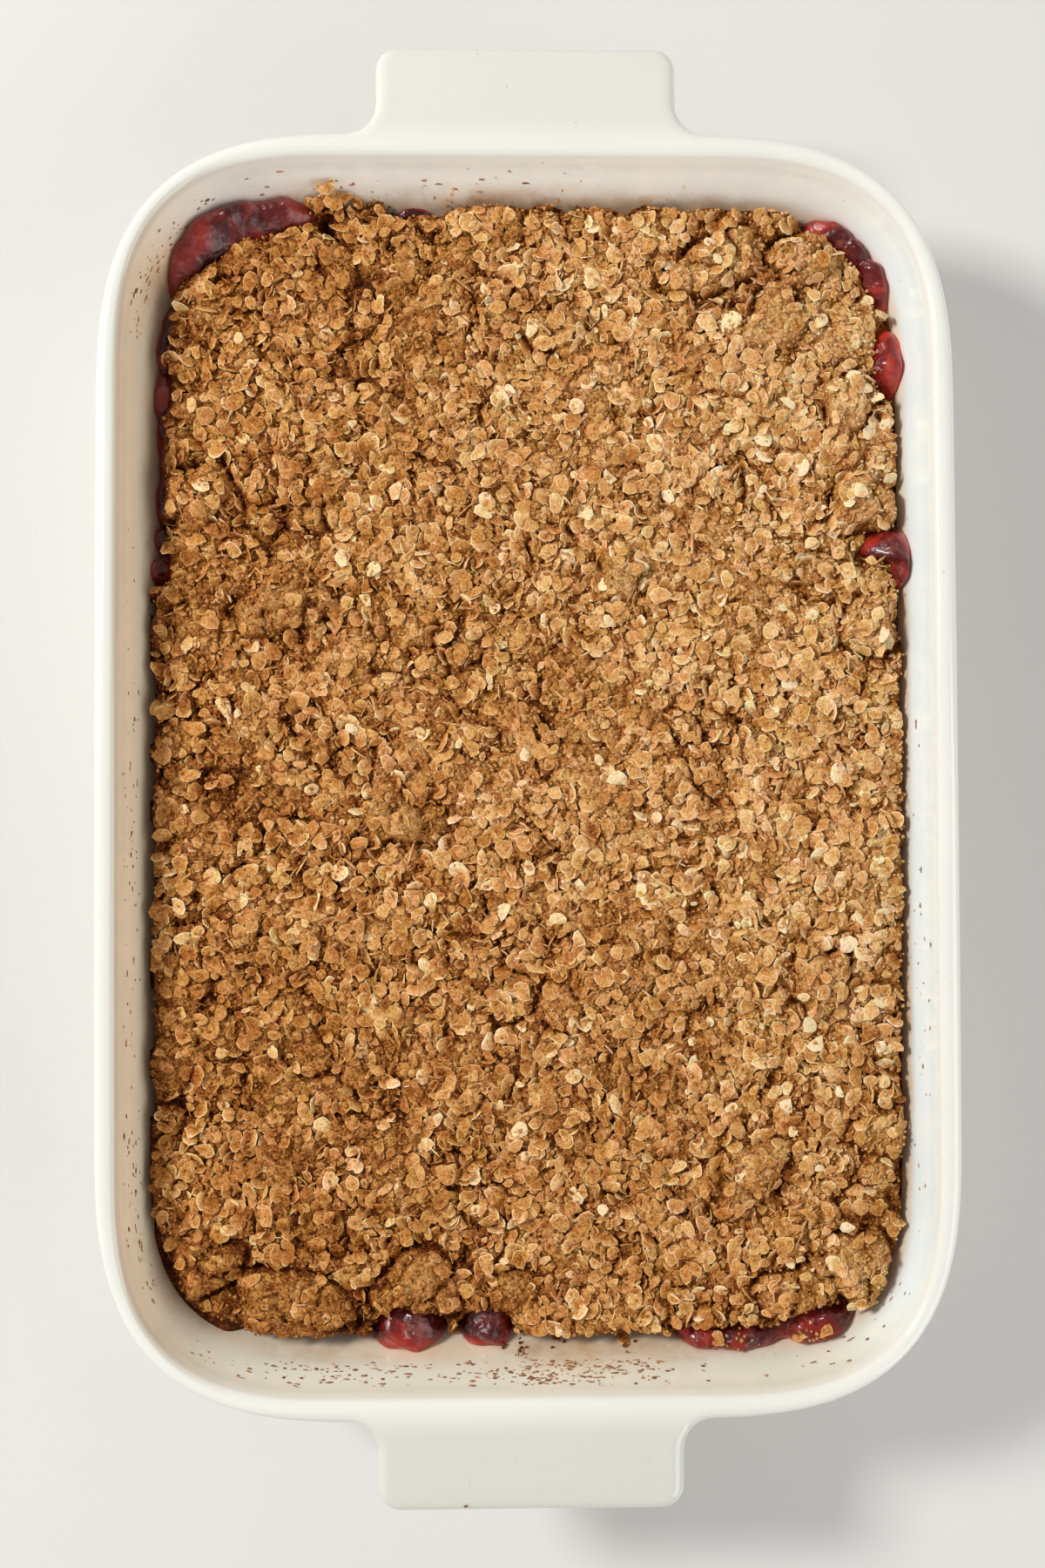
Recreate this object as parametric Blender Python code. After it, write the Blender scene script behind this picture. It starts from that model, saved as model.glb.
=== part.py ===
"""Cherry crisp in the oblong ceramic dish that it was baked in, with a flat tab handle at each end.

Metres, +Z up. The origin is the middle of the dish's foot, and +Y runs along the dish to its far handle.
"""

import math
import random

import bmesh
import bpy
from mathutils import Matrix, Vector, noise
from mathutils.geometry import delaunay_2d_cdt

# Dish: sizes over the rim and the handles
RIM_WIDTH = 0.2470
RIM_LENGTH = 0.3674
OVER_TABS = 0.4166
DISH_HEIGHT = 0.0640
LIP_WIDTH = 0.0062
TAB_WIDTH = 0.0870
TAB_FILLET = 0.0085
TAB_CORNER = 0.0065
END_DRAFT = 0.60
END_DRAFT_DEPTH = 0.0100

# Rim corners are soft: a superellipse that gets tighter further down the wall
CORNER_POWER = 2.9
CORNER_RIM = 0.080
CORNER_FLOOR = 0.024
CORNER_FADE = 0.022
SIDE_BOW = 0.0006

# Steps along a quarter of the outline
SIDE_STEPS = 2
CORNER_STEPS = 9
FILLET_STEPS = 3
TIP_STEPS = 3
TAB_LEAD = 0.006

# Profile of the dish, as (inset from the rim's outer edge, height)
FOOT_RECESS = 0.0015
FOOT = [(0.0340, FOOT_RECESS), (0.0335, 0.0), (0.0285, 0.0)]
OUTER_WALL = [(0.0228, 0.0022), (0.0172, 0.0085), (0.0104, 0.0280), (0.0064, 0.0500), (0.0057, 0.0556)]
LIP_OUTSIDE = [(0.0012, 0.0562), (0.0, 0.0600), (0.0011, 0.0632), (0.0030, DISH_HEIGHT)]
LIP_INSIDE = [(0.0050, 0.0635), (LIP_WIDTH, 0.0612)]
INNER_WALL = [(0.0092, 0.0530), (0.0120, 0.0440), (0.0164, 0.0310), (0.0205, 0.0205), (0.0265, 0.0125)]
FLOOR = (0.0380, 0.0075)

# Food: the filling fills the dish up to the crust, and bubbles up in places beside it
CLEARANCE = 0.0004
TOUCH_GAP = 0.0003
FILLING_LEVEL = 0.0305
CRUST_EDGE = 0.0452
CRUST_LEVEL = 0.0476
CRUST_GAP = 0.0012
LEFT_GAP = 0.0036
RIGHT_GAP = 0.0018
FAR_GAP = 0.0018
NEAR_GAP = 0.0056
SIDE_GAP_FROM = 0.085
SIDE_GAP_TO = 0.105
END_GAP_FROM = 0.155
END_GAP_TO = 0.165
SHRUNK_CORNER = (-0.103, -0.151)
SHRUNK_REACH = 0.025
SHRUNK_GAP = 0.0024
PIECE_MARGIN = 0.0012
EDGE_WANDER = 0.0012
BUBBLE_STEP = 0.0040
PLAIN_STEP = 0.0160
PROBES = 12
CHERRY_PITCH = 0.0170
CHERRY_SWELL = 0.0016
FULL_SWELL_RISE = 0.0080

# Each bubble is a dome: how blunt it is along the wall, and its section's crest and reach as shares of
# its width
BUBBLE_POWER = 2.5
BUBBLE_CREST = 0.42
BUBBLE_REACH = 0.90
SECTION_SHARES = (0.0, 0.35, 0.75, 1.0)

# Bubbled filling at the wall: (x, y, half its length, its width, its rise), in mm
BUBBLES = [
    (-88, 166, 31, 7.0, 21.5),
    (-111, 113, 9, 4.6, 13.5),
    (-111, 98, 9, 3.6, 12.5),
    (-111, 69.5, 4.2, 4.2, 13.5),
    (-111, 61, 5.6, 5.2, 13.5),
    (93.5, 164, 13.5, 4.9, 19.0),
    (100, 157, 9, 4.1, 18.0),
    (106, 146.5, 14.5, 3.8, 17.0),
    (111.5, 122.5, 13.0, 6.6, 17.5),
    (113, 63.4, 11.5, 1.7, 21.0),
    (112, 66.5, 5, 10.0, 14.5),
    (-35, -168, 11.6, 7.4, 14.8),
    (-12.7, -168, 8.6, 7.0, 14.2),
    (62, -168, 22, 0.8, 16.5),
    (85, -161.5, 14.5, 4.0, 19.0),
]

# Relief of the crust, as (lumps in a metre, height, shift of the noise)
CRUST_RELIEF = [(14, 0.0016, 0.0), (62, 0.0030, 3.1), (160, 0.0013, 9.2)]
CRUST_GRID = 0.0072
GRID_SHIFT = 0.25
GRID_MARGIN = 0.55
EDGE_RELIEF = 0.0015
EDGE_LUMPS = 100
WANDER_PLANE = 0.003
RELIEF_PLANE = 0.020
WELD = 1e-7
PULL_BACK = 0.1

# Largest clumps of the crust: (x, y, length, width, turn), in mm and degrees
CLUMPS = [
    (82, 152, 19, 15, 20),
    (74, 134, 19, 15, 75),
    (96, 110, 16, 15, 40),
    (100, 79, 19, 17, 5),
    (101, 43, 15, 17, 0),
    (56, 150, 28, 15, 25),
    (9, 131, 18, 13, 10),
    (-97, 82, 21, 16, 20),
    (-72, 48, 27, 13, 10),
    (-95, -143, 23, 16, 30),
    (-68, -154, 33, 19, 170),
    (-33, -149, 23, 19, 20),
    (79, -152, 23, 16, 15),
    (97, -146, 18, 24, 20),
    (62, -118, 26, 18, 30),
    (86, -62, 18, 14, 60),
    (-40, -12, 20, 14, 130),
    (28, 60, 17, 13, 80),
]
CLUMP_HEIGHT = 0.0085
CLUMP_LIFT = 0.0004
CLUMP_CRAGS = 0.45
CLUMP_CRAG_SCALE = 1.9
FLAKE_COUNT = 90
FLAKE_TRIES = 60
FLAKE_LENGTH = 0.0076
FLAKE_WIDTH = 0.0062
FLAKE_THICKNESS = 0.0015
FLAKE_LIFT = 0.0003
FLAKE_SIDES = 8
FLAKE_SIZES = (0.85, 1.12)
FLAKE_TAPER = (0.75, 0.90)
FLAKE_TILTS = (math.radians(12), math.radians(34))
SHARP_ANGLE = math.radians(40)
SEED = 17

# Finish of each solid, as (colour, roughness)
CERAMIC = ((0.88, 0.86, 0.80), 0.15)
CHERRY = ((0.33, 0.015, 0.02), 0.12)
OAT = ((0.60, 0.31, 0.10), 0.75)


def clear_scene():
    """Starts from an empty scene."""
    for thing in list(bpy.data.objects):
        bpy.data.objects.remove(thing)


def make_material(name, colour, roughness):
    """A plain Principled material."""
    material = bpy.data.materials.new(name)
    material.use_nodes = True
    shader = material.node_tree.nodes["Principled BSDF"]
    shader.inputs["Base Color"].default_value = (*colour, 1.0)
    shader.inputs["Roughness"].default_value = roughness
    shader.inputs["Metallic"].default_value = 0.0
    return material


def add_object(name, shape, material):
    """Makes an object of a bmesh, with its faces pointing out, and frees the bmesh."""
    bmesh.ops.recalc_face_normals(shape, faces=shape.faces)
    mesh = bpy.data.meshes.new(name)
    shape.to_mesh(mesh)
    shape.free()
    mesh.materials.append(material)
    thing = bpy.data.objects.new(name, mesh)
    bpy.context.scene.collection.objects.link(thing)
    return thing


def lerp(a, b, share):
    """The value or point a share of the way from a to b."""
    return a + (b - a) * share


def body_size(inset):
    """Half the width, half the length and the corner size of the outline at an inset from the rim."""
    half_x = RIM_WIDTH / 2 - inset
    draft = END_DRAFT * min(max(0.0, inset - LIP_WIDTH), END_DRAFT_DEPTH)
    half_y = RIM_LENGTH / 2 - inset - draft
    corner = CORNER_FLOOR + (CORNER_RIM - CORNER_FLOOR) * math.exp(-inset / CORNER_FADE)
    return half_x, half_y, corner


def corner_point(inset, angle):
    """A point of the outline's corner, from the long side at 0 to the end at a quarter turn."""
    half_x, half_y, corner = body_size(inset)
    power = 2 / CORNER_POWER
    x = half_x - corner + corner * max(0.0, math.cos(angle)) ** power
    y = half_y - corner + corner * max(0.0, math.sin(angle)) ** power
    return x, y


def angle_at_x(inset, x):
    """Where along the corner the outline comes in to x, or a quarter turn if the corner ends before it."""
    half_x, _, corner = body_size(inset)
    share = max(0.0, (x - half_x + corner) / corner)
    return math.acos(min(1.0, share ** (CORNER_POWER / 2)))


def side_and_corner(inset):
    """The outline from the middle of a long side to just before the handle."""
    _, half_y, corner = body_size(inset)
    straight = half_y - corner
    points = [(corner_point(inset, 0)[0], straight * i / SIDE_STEPS) for i in range(SIDE_STEPS)]
    last = angle_at_x(inset, TAB_WIDTH / 2 + TAB_FILLET + TAB_LEAD)
    points += [corner_point(inset, last * i / CORNER_STEPS) for i in range(CORNER_STEPS + 1)]
    return points


def end_under_tab(inset):
    """The outline's end where a handle joins it, left straight, down to the middle of the dish."""
    root = TAB_WIDTH / 2 + TAB_FILLET
    steps = FILLET_STEPS + TIP_STEPS + 2
    points = []
    for i in range(steps + 1):
        x = root * (1 - i / steps)
        points.append((x, corner_point(inset, angle_at_x(inset, x))[1]))
    return points


def arc(centre, radius, start, end, steps):
    """Points of an arc, with its angles in degrees."""
    angles = [math.radians(lerp(start, end, i / steps)) for i in range(steps + 1)]
    return [(centre[0] + radius * math.cos(a), centre[1] + radius * math.sin(a)) for a in angles]


def end_with_tab(inset):
    """The outline's end with the handle on it, inset all round."""
    half = TAB_WIDTH / 2 - inset
    tip = OVER_TABS / 2 - inset
    hollow = TAB_FILLET + inset
    root_x = TAB_WIDTH / 2 + TAB_FILLET
    root_y = corner_point(inset, angle_at_x(inset, root_x))[1]
    round_tip = TAB_CORNER - inset
    points = arc((root_x, root_y + hollow), hollow, 270, 180, FILLET_STEPS)
    points += arc((half - round_tip, tip - round_tip), round_tip, 0, 90, TIP_STEPS)
    points.append((0.0, tip))
    return points


def full_outline(quarter, half_y):
    """Mirrors a quarter outline into a whole loop, and bows its long sides."""
    upper = quarter + [(-x, y) for x, y in reversed(quarter[:-1])]
    loop = upper + [(-x, -y) for x, y in upper[1:-1]]
    return [(x * (1 - SIDE_BOW / (RIM_WIDTH / 2) * (y / half_y) ** 2), y) for x, y in loop]


def outline(inset, with_tab=False):
    """The dish's outline at an inset from the rim's outer edge, as a loop of points."""
    end = end_with_tab(inset) if with_tab else end_under_tab(inset)
    return full_outline(side_and_corner(inset) + end, body_size(inset)[1])


def add_loop(shape, points, height):
    """Adds a loop of vertices, all at one height or each at its own."""
    heights = height if isinstance(height, list) else [height] * len(points)
    return [shape.verts.new((x, y, z)) for (x, y), z in zip(points, heights)]


def skin(shape, loops):
    """Joins loops of vertices one to the next, and caps the first and the last."""
    for lower, upper in zip(loops, loops[1:]):
        for i in range(len(lower)):
            j = (i + 1) % len(lower)
            shape.faces.new((lower[i], lower[j], upper[j], upper[i]))
    shape.faces.new(loops[0])
    shape.faces.new(loops[-1])


def make_dish(material):
    """The ceramic dish: foot, outer wall, rolled lip that runs out into two tabs, inner wall and floor."""
    shape = bmesh.new()
    levels = [(inset, z, False) for inset, z in FOOT + OUTER_WALL]
    levels += [(inset, z, True) for inset, z in LIP_OUTSIDE]
    levels += [(inset, z, False) for inset, z in [*LIP_INSIDE, *INNER_WALL, FLOOR]]
    skin(shape, [add_loop(shape, outline(inset, tab), z) for inset, z, tab in levels])
    return add_object("baking_dish", shape, material)


def wall_inset(height):
    """The inner wall's inset from the rim at a height."""
    levels = [*LIP_INSIDE, *INNER_WALL, FLOOR]
    for (upper, top), (lower, bottom) in zip(levels, levels[1:]):
        if bottom <= height <= top:
            return lerp(lower, upper, (height - bottom) / (top - bottom))
    return levels[0][0]


def bubble_at(x, y):
    """How wide the bubbled filling is at a point of the wall, and how far it rises."""
    width = rise = 0.0
    for bx, by, half, wide, high in BUBBLES:
        along = math.hypot(x - bx * 0.001, y - by * 0.001) / (half * 0.001)
        if along < 1:
            swell = math.sqrt(1 - along**BUBBLE_POWER)
            width = max(width, wide * 0.001 * swell)
            rise = max(rise, high * 0.001 * swell)
    return width, rise


def wall_stations():
    """Places round the wall, as (edge of the outline, share along it), closer together at bubbles."""
    loop = outline(wall_inset(CRUST_EDGE))
    stations = []
    for i, a in enumerate(loop):
        b = loop[(i + 1) % len(loop)]
        length = math.dist(a, b)
        probes = [lerp(Vector(a), Vector(b), k / PROBES) for k in range(PROBES + 1)]
        near = any(bubble_at(p.x, p.y)[0] > 0 for p in probes)
        parts = max(1, round(length / (BUBBLE_STEP if near else PLAIN_STEP)))
        stations += [(i, k / parts) for k in range(parts)]
    return stations


def wall_points(stations, heights, inward):
    """The inner wall's points at the stations, each at its own height and distance inward."""
    points = []
    for (edge, share), height, set_in in zip(stations, heights, inward):
        loop = outline(wall_inset(height))
        a = Vector(loop[edge])
        b = Vector(loop[(edge + 1) % len(loop)])
        along = (b - a).normalized()
        spot = lerp(a, b, share) + Vector((-along.y, along.x)) * set_in
        points.append((spot.x, spot.y))
    return points


def smooth_ring(values):
    """Evens out a ring of values a little."""
    count = len(values)
    return [(values[i - 1] + 2 * values[i] + values[(i + 1) % count]) / 4 for i in range(count)]


def share_between(value, start, end):
    """How far a value is from start to end, kept from 0 to 1."""
    return max(0.0, min(1.0, (value - start) / (end - start)))


def crust_gap(x, y):
    """The crust has shrunk from the wall, least at the far end and most at the near left corner."""
    gaps = [
        lerp(CRUST_GAP, LEFT_GAP, share_between(-x, SIDE_GAP_FROM, SIDE_GAP_TO)),
        lerp(CRUST_GAP, RIGHT_GAP, share_between(x, SIDE_GAP_FROM, SIDE_GAP_TO)),
        lerp(CRUST_GAP, FAR_GAP, share_between(y, END_GAP_FROM, END_GAP_TO)),
        lerp(CRUST_GAP, NEAR_GAP, share_between(-y, END_GAP_FROM, END_GAP_TO)),
    ]
    away = min(1.0, math.dist((x, y), SHRUNK_CORNER) / SHRUNK_REACH)
    return max(gaps) + SHRUNK_GAP * (1 - away**2)


def edge_of_food(stations):
    """The wall's points at the filling's level, and how wide and how high the filling is at each."""
    level = [FILLING_LEVEL] * len(stations)
    wall = wall_points(stations, level, [0.0] * len(stations))
    top_level = [CRUST_EDGE] * len(stations)
    bubbles = [bubble_at(x, y) for x, y in wall_points(stations, top_level, [0.0] * len(stations))]
    widths = smooth_ring([width + crust_gap(x, y) for (width, _), (x, y) in zip(bubbles, wall)])
    rises = smooth_ring([rise for _, rise in bubbles])
    return wall, widths, rises


def make_filling(stations, material):
    """The cherry filling: it fills the dish up to the crust and swells up beside it in round lumps."""
    wall, widths, rises = edge_of_food(stations)
    count = len(stations)
    lumps = [CHERRY_SWELL * math.sin(2 * math.pi * (x + y) / CHERRY_PITCH) for x, y in wall]
    swells = [lump * min(1.0, rise / FULL_SWELL_RISE) for rise, lump in zip(rises, lumps)]
    heights = [max(TOUCH_GAP, rise + swell) for rise, swell in zip(rises, swells)]
    inner = [width - TOUCH_GAP for width in widths]
    shape = bmesh.new()
    loops = []
    for inset, z in (FLOOR, *reversed(INNER_WALL[2:])):
        level = [min(z + CLEARANCE, FILLING_LEVEL)] * count
        loops.append(add_loop(shape, wall_points(stations, level, [CLEARANCE] * count), level))
    for share in SECTION_SHARES:
        part = math.sqrt(1 - ((share - BUBBLE_CREST) / BUBBLE_REACH) ** 2)
        level = [FILLING_LEVEL + max(TOUCH_GAP, part * height) for height in heights]
        inward = [lerp(CLEARANCE, edge, share) for edge in inner]
        loops.append(add_loop(shape, wall_points(stations, level, inward), level))
    level = [FILLING_LEVEL] * count
    loops.append(add_loop(shape, wall_points(stations, level, inner), level))
    skin(shape, loops)
    return add_object("cherry_filling", shape, material)


def crust_height(x, y):
    """The crust's top away from its edge: broad swells, packed clumps and small crumbs."""
    relief = []
    for lumps, high, shift in CRUST_RELIEF:
        relief.append(noise.noise(Vector((x * lumps, y * lumps, shift))) * high)
    return CRUST_LEVEL + sum(relief)


def inside(point, loop):
    """Whether a point is inside a loop."""
    x, y = point
    crossings = 0
    for (ax, ay), (bx, by) in zip(loop, loop[1:] + loop[:1]):
        if (ay > y) != (by > y) and x < ax + (y - ay) / (by - ay) * (bx - ax):
            crossings += 1
    return crossings % 2 == 1


def distance_to(point, loop):
    """The distance from a point to the nearest side of a loop."""
    spot = Vector(point)
    nearest = 1.0
    for a, b in zip(loop, loop[1:] + loop[:1]):
        start = Vector(a)
        side = Vector(b) - start
        share = max(0.0, min(1.0, (spot - start).dot(side) / side.length_squared))
        nearest = min(nearest, (start + side * share - spot).length)
    return nearest


def grid_points(loop, spacing, margin):
    """Unevenly shifted points of a triangular grid, all inside a loop by a margin."""
    rng = random.Random(SEED)
    row_step = spacing * math.sqrt(3) / 2
    rows = int(RIM_LENGTH / row_step / 2)
    columns = int(RIM_WIDTH / spacing / 2)
    points = []
    for row in range(-rows, rows + 1):
        for column in range(-columns, columns + 1):
            x = (column + 0.5 * (row % 2) + rng.uniform(-GRID_SHIFT, GRID_SHIFT)) * spacing
            y = row * row_step + rng.uniform(-GRID_SHIFT, GRID_SHIFT) * spacing
            if inside((x, y), loop) and distance_to((x, y), loop) > margin:
                points.append((x, y))
    return points


def make_crust_core(stations, material):
    """The crust without its separate pieces: a thick uneven sheet with a rough shoulder all round."""
    wall, widths, _ = edge_of_food(stations)
    wander = [EDGE_WANDER * (0.5 + noise.noise(Vector((x, y, WANDER_PLANE)) * EDGE_LUMPS)) for x, y in wall]
    inward = [width + max(0.0, extra) for width, extra in zip(widths, wander)]
    foot_level = [FILLING_LEVEL + TOUCH_GAP] * len(stations)
    foot = wall_points(stations, foot_level, inward)
    edge_level = [CRUST_EDGE] * len(stations)
    edge = wall_points(stations, edge_level, inward)
    inner = grid_points(edge, CRUST_GRID, GRID_MARGIN * CRUST_GRID)
    shape = bmesh.new()
    foot_loop = add_loop(shape, foot, foot_level)
    crags = [noise.noise(Vector((x, y, RELIEF_PLANE)) * EDGE_LUMPS) for x, y in edge]
    uneven = [CRUST_EDGE + crag * EDGE_RELIEF for crag in crags]
    edge_loop = add_loop(shape, edge, uneven)
    for i in range(len(foot_loop)):
        j = (i + 1) % len(foot_loop)
        shape.faces.new((foot_loop[i], foot_loop[j], edge_loop[j], edge_loop[i]))
    shape.faces.new(foot_loop)
    top = edge_loop + [shape.verts.new((x, y, crust_height(x, y))) for x, y in inner]
    flat = [Vector((vertex.co.x, vertex.co.y)) for vertex in top]
    result = delaunay_2d_cdt(flat, [], [list(range(len(edge_loop)))], 1, WELD)
    sources = [origins[0] for origins in result[3]]
    for triangle in result[2]:
        shape.faces.new([top[sources[corner]] for corner in triangle])
    clear_of_edge = wall_points(stations, edge_level, [inset + PIECE_MARGIN for inset in inward])
    return add_object("oat_topping", shape, material), clear_of_edge


def grow_lumps(shape, amount, scale, shift):
    """Moves each vertex in or out from the middle by noise, different for each shift."""
    for vertex in shape.verts:
        push = noise.noise(vertex.co * scale + Vector((shift, shift, shift)))
        vertex.co += vertex.co.normalized() * push * amount


def keep_inside(shape, loop, centre):
    """Draws vertices that lie outside a loop back towards a centre."""
    for vertex in shape.verts:
        while not inside((vertex.co.x, vertex.co.y), loop):
            vertex.co.x = lerp(vertex.co.x, centre[0], PULL_BACK)
            vertex.co.y = lerp(vertex.co.y, centre[1], PULL_BACK)


def make_clump(number, edge, material):
    """One big clump of the crust: a flattened craggy lump that sits well down in it."""
    x, y, length, width = (value * 0.001 for value in CLUMPS[number][:4])
    turn = Matrix.Rotation(math.radians(CLUMPS[number][4]), 4, "Z")
    shape = bmesh.new()
    bmesh.ops.create_icosphere(shape, subdivisions=2, radius=1.0)
    grow_lumps(shape, CLUMP_CRAGS, CLUMP_CRAG_SCALE, number * math.e)
    size = Matrix.Diagonal((length / 2, width / 2, CLUMP_HEIGHT / 2, 1.0))
    place = Matrix.Translation((x, y, crust_height(x, y) + CLUMP_LIFT))
    bmesh.ops.transform(shape, matrix=place @ turn @ size, verts=shape.verts)
    keep_inside(shape, edge, (x, y))
    return add_object(f"clump_{number}", shape, material)


def flake_places(edge):
    """Spreads the flakes evenly over the crust: each goes where it is furthest from those before it."""
    rng = random.Random(SEED)
    taken = [(x * 0.001, y * 0.001) for x, y, *_ in CLUMPS]
    places = []
    while len(places) < FLAKE_COUNT:
        tries = []
        for _ in range(FLAKE_TRIES):
            x = rng.uniform(-0.5, 0.5) * RIM_WIDTH
            y = rng.uniform(-0.5, 0.5) * RIM_LENGTH
            if inside((x, y), edge) and distance_to((x, y), edge) > FLAKE_LENGTH / 2:
                tries.append((x, y))
        best = max(tries, key=lambda spot: min(math.dist(spot, other) for other in taken))
        taken.append(best)
        places.append(best)
    return places


def make_flake(number, place, rng, material):
    """One rolled oat: a thin oval disc, tilted so that one side stands out of the crust."""
    x, y = place
    size = rng.uniform(*FLAKE_SIZES)
    shape = bmesh.new()
    bmesh.ops.create_cone(
        shape, cap_ends=True, segments=FLAKE_SIDES,
        radius1=0.5, radius2=0.5 * rng.uniform(*FLAKE_TAPER), depth=1.0,
    )
    scale = Matrix.Diagonal((FLAKE_LENGTH * size, FLAKE_WIDTH * size, FLAKE_THICKNESS, 1.0))
    turn = Matrix.Rotation(rng.uniform(0, 2 * math.pi), 4, "Z")
    tilt = Matrix.Rotation(rng.uniform(*FLAKE_TILTS), 4, "X")
    spin = Matrix.Rotation(rng.uniform(0, 2 * math.pi), 4, "Z")
    spot = Matrix.Translation((x, y, crust_height(x, y) + FLAKE_LIFT))
    bmesh.ops.transform(shape, matrix=spot @ turn @ tilt @ spin @ scale, verts=shape.verts)
    return add_object(f"flake_{number}", shape, material)


def largest_body(thing):
    """Drops all but the largest connected body of a mesh: loose scraps and sealed hollows."""
    shape = bmesh.new()
    shape.from_mesh(thing.data)
    left = set(shape.verts)
    bodies = []
    while left:
        body = set()
        edge_of_body = [left.pop()]
        while edge_of_body:
            vertex = edge_of_body.pop()
            body.add(vertex)
            near = [edge.other_vert(vertex) for edge in vertex.link_edges]
            fresh = [other for other in near if other in left]
            left.difference_update(fresh)
            edge_of_body += fresh
        bodies.append(body)
    bodies.sort(key=len)
    for body in bodies[:-1]:
        bmesh.ops.delete(shape, geom=list(body), context="VERTS")
    shape.to_mesh(thing.data)
    shape.free()


def fuse(core, pieces):
    """Joins the pieces to the core as one solid, and removes them."""
    group = bpy.data.collections.new("pieces")
    for piece in pieces:
        group.objects.link(piece)
    union = core.modifiers.new("union", "BOOLEAN")
    union.operation = "UNION"
    union.operand_type = "COLLECTION"
    union.collection = group
    union.solver = "EXACT"
    evaluated = core.evaluated_get(bpy.context.evaluated_depsgraph_get())
    core.data = bpy.data.meshes.new_from_object(evaluated)
    core.modifiers.clear()
    for piece in pieces:
        bpy.data.objects.remove(piece)
    bpy.data.collections.remove(group)
    largest_body(core)


def make_crust(stations, material):
    """The oat crust: the core with its big clumps and its largest flakes fused on."""
    core, edge = make_crust_core(stations, material)
    rng = random.Random(SEED)
    pieces = [make_clump(number, edge, material) for number in range(len(CLUMPS))]
    for number, place in enumerate(flake_places(edge)):
        pieces.append(make_flake(number, place, rng, material))
    fuse(core, pieces)
    return core


def main():
    clear_scene()
    ceramic = make_material("ceramic", *CERAMIC)
    cherry = make_material("cherry", *CHERRY)
    oat = make_material("oat", *OAT)
    dish = make_dish(ceramic)
    stations = wall_stations()
    filling = make_filling(stations, cherry)
    crust = make_crust(stations, oat)
    for thing in (dish, filling):
        thing.data.shade_smooth()
        thing.data.set_sharp_from_angle(angle=SHARP_ANGLE)


main()
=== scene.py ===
"""Looks of the cherry crisp: glazed dish, bubbled cherry filling and a crust of oats and brown sugar."""

import math

import bmesh
import bpy
import numpy as np
from mathutils import Euler, Matrix, Vector, kdtree


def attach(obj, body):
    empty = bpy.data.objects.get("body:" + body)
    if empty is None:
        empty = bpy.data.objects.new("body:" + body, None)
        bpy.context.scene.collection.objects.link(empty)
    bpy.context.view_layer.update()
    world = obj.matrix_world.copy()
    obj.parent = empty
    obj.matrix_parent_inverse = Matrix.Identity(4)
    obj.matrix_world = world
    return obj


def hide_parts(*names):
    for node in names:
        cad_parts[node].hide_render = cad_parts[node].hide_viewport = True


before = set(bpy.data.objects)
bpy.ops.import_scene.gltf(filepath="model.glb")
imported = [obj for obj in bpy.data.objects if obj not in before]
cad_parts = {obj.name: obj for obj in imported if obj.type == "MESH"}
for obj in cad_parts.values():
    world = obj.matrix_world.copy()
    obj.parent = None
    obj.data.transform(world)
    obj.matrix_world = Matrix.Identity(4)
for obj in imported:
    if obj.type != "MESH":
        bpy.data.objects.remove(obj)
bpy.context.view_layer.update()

SEED = 23
MM = 0.001
HALF_MM = 0.0005

# Dish sizes, as in the solid
RIM_WIDTH = 0.2470
RIM_LENGTH = 0.3674
OVER_TABS = 0.4166
LIP_WIDTH = 0.0062
TAB_WIDTH = 0.0870
TAB_FILLET = 0.0085
TAB_CORNER = 0.0065
END_DRAFT = 0.60
END_DRAFT_DEPTH = 0.0100
CORNER_POWER = 2.9
CORNER_RIM = 0.080
CORNER_FLOOR = 0.024
CORNER_FADE = 0.022
SIDE_BOW = 0.0006

# How finely the dish is divided
SIDE_STEPS = 12
CORNER_STEPS = 34
CORNER_CROWDING = 1.25
FILLET_STEPS = 7
TIP_STEPS = 7
TAB_LEAD = 0.006
TAB_RINGS = 7
WALL_STEPS = 6
LIP_STEPS = 3

# Profile of the dish, as (inset from the rim's outer edge, height)
FOOT = [(0.0340, 0.0015), (0.0335, 0.0), (0.0288, 0.0)]
OUTER_WALL = [
    (0.0255, 0.0006), (0.0228, 0.0022), (0.0172, 0.0085),
    (0.0104, 0.0280), (0.0064, 0.0500), (0.0057, 0.0553),
]
LIP_OUTSIDE = [
    (0.0022, 0.0559), (0.0006, 0.0573), (0.0, 0.0600),
    (0.0007, 0.0622), (0.0019, 0.0635), (0.0034, 0.0640),
]
LIP_INSIDE = [(0.0049, 0.0638), (0.0063, 0.0629), (0.0072, 0.0604), (0.0081, 0.0567)]
INNER_WALL = [
    (0.0092, 0.0530), (0.0120, 0.0440), (0.0164, 0.0310),
    (0.0205, 0.0205), (0.0265, 0.0125), (0.0380, 0.0075),
]
WALL_INSETS, WALL_HEIGHTS = np.array([LIP_INSIDE[-1], *INNER_WALL]).T

# Food levels and edges, as in the solids
CLEARANCE = 0.0004
FILLING_LEVEL = 0.0305
FILLING_OVERLAP = 0.0012
CRUST_FOOT = 0.0308
CRUST_EDGE = 0.0452
CRUST_LEVEL = 0.0470

# How far the crust has shrunk from the wall, and where each side's gap begins and is full
CRUST_GAP = 0.0012
LEFT_GAP = 0.0022
RIGHT_GAP = 0.0018
FAR_GAP = 0.0018
NEAR_GAP = 0.0056
SIDE_GAP_RANGE = (0.085, 0.105)
END_GAP_RANGE = (0.155, 0.165)
SHRUNK_CORNER = (-0.103, -0.151)
SHRUNK_REACH = 0.025
SHRUNK_GAP = 0.0024

# Each bubble is a dome: how blunt it is along the wall, and its section's crest and reach as shares of
# its width
BUBBLE_POWER = 2.5
BUBBLE_CREST = 0.42
BUBBLE_REACH = 0.90

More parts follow.
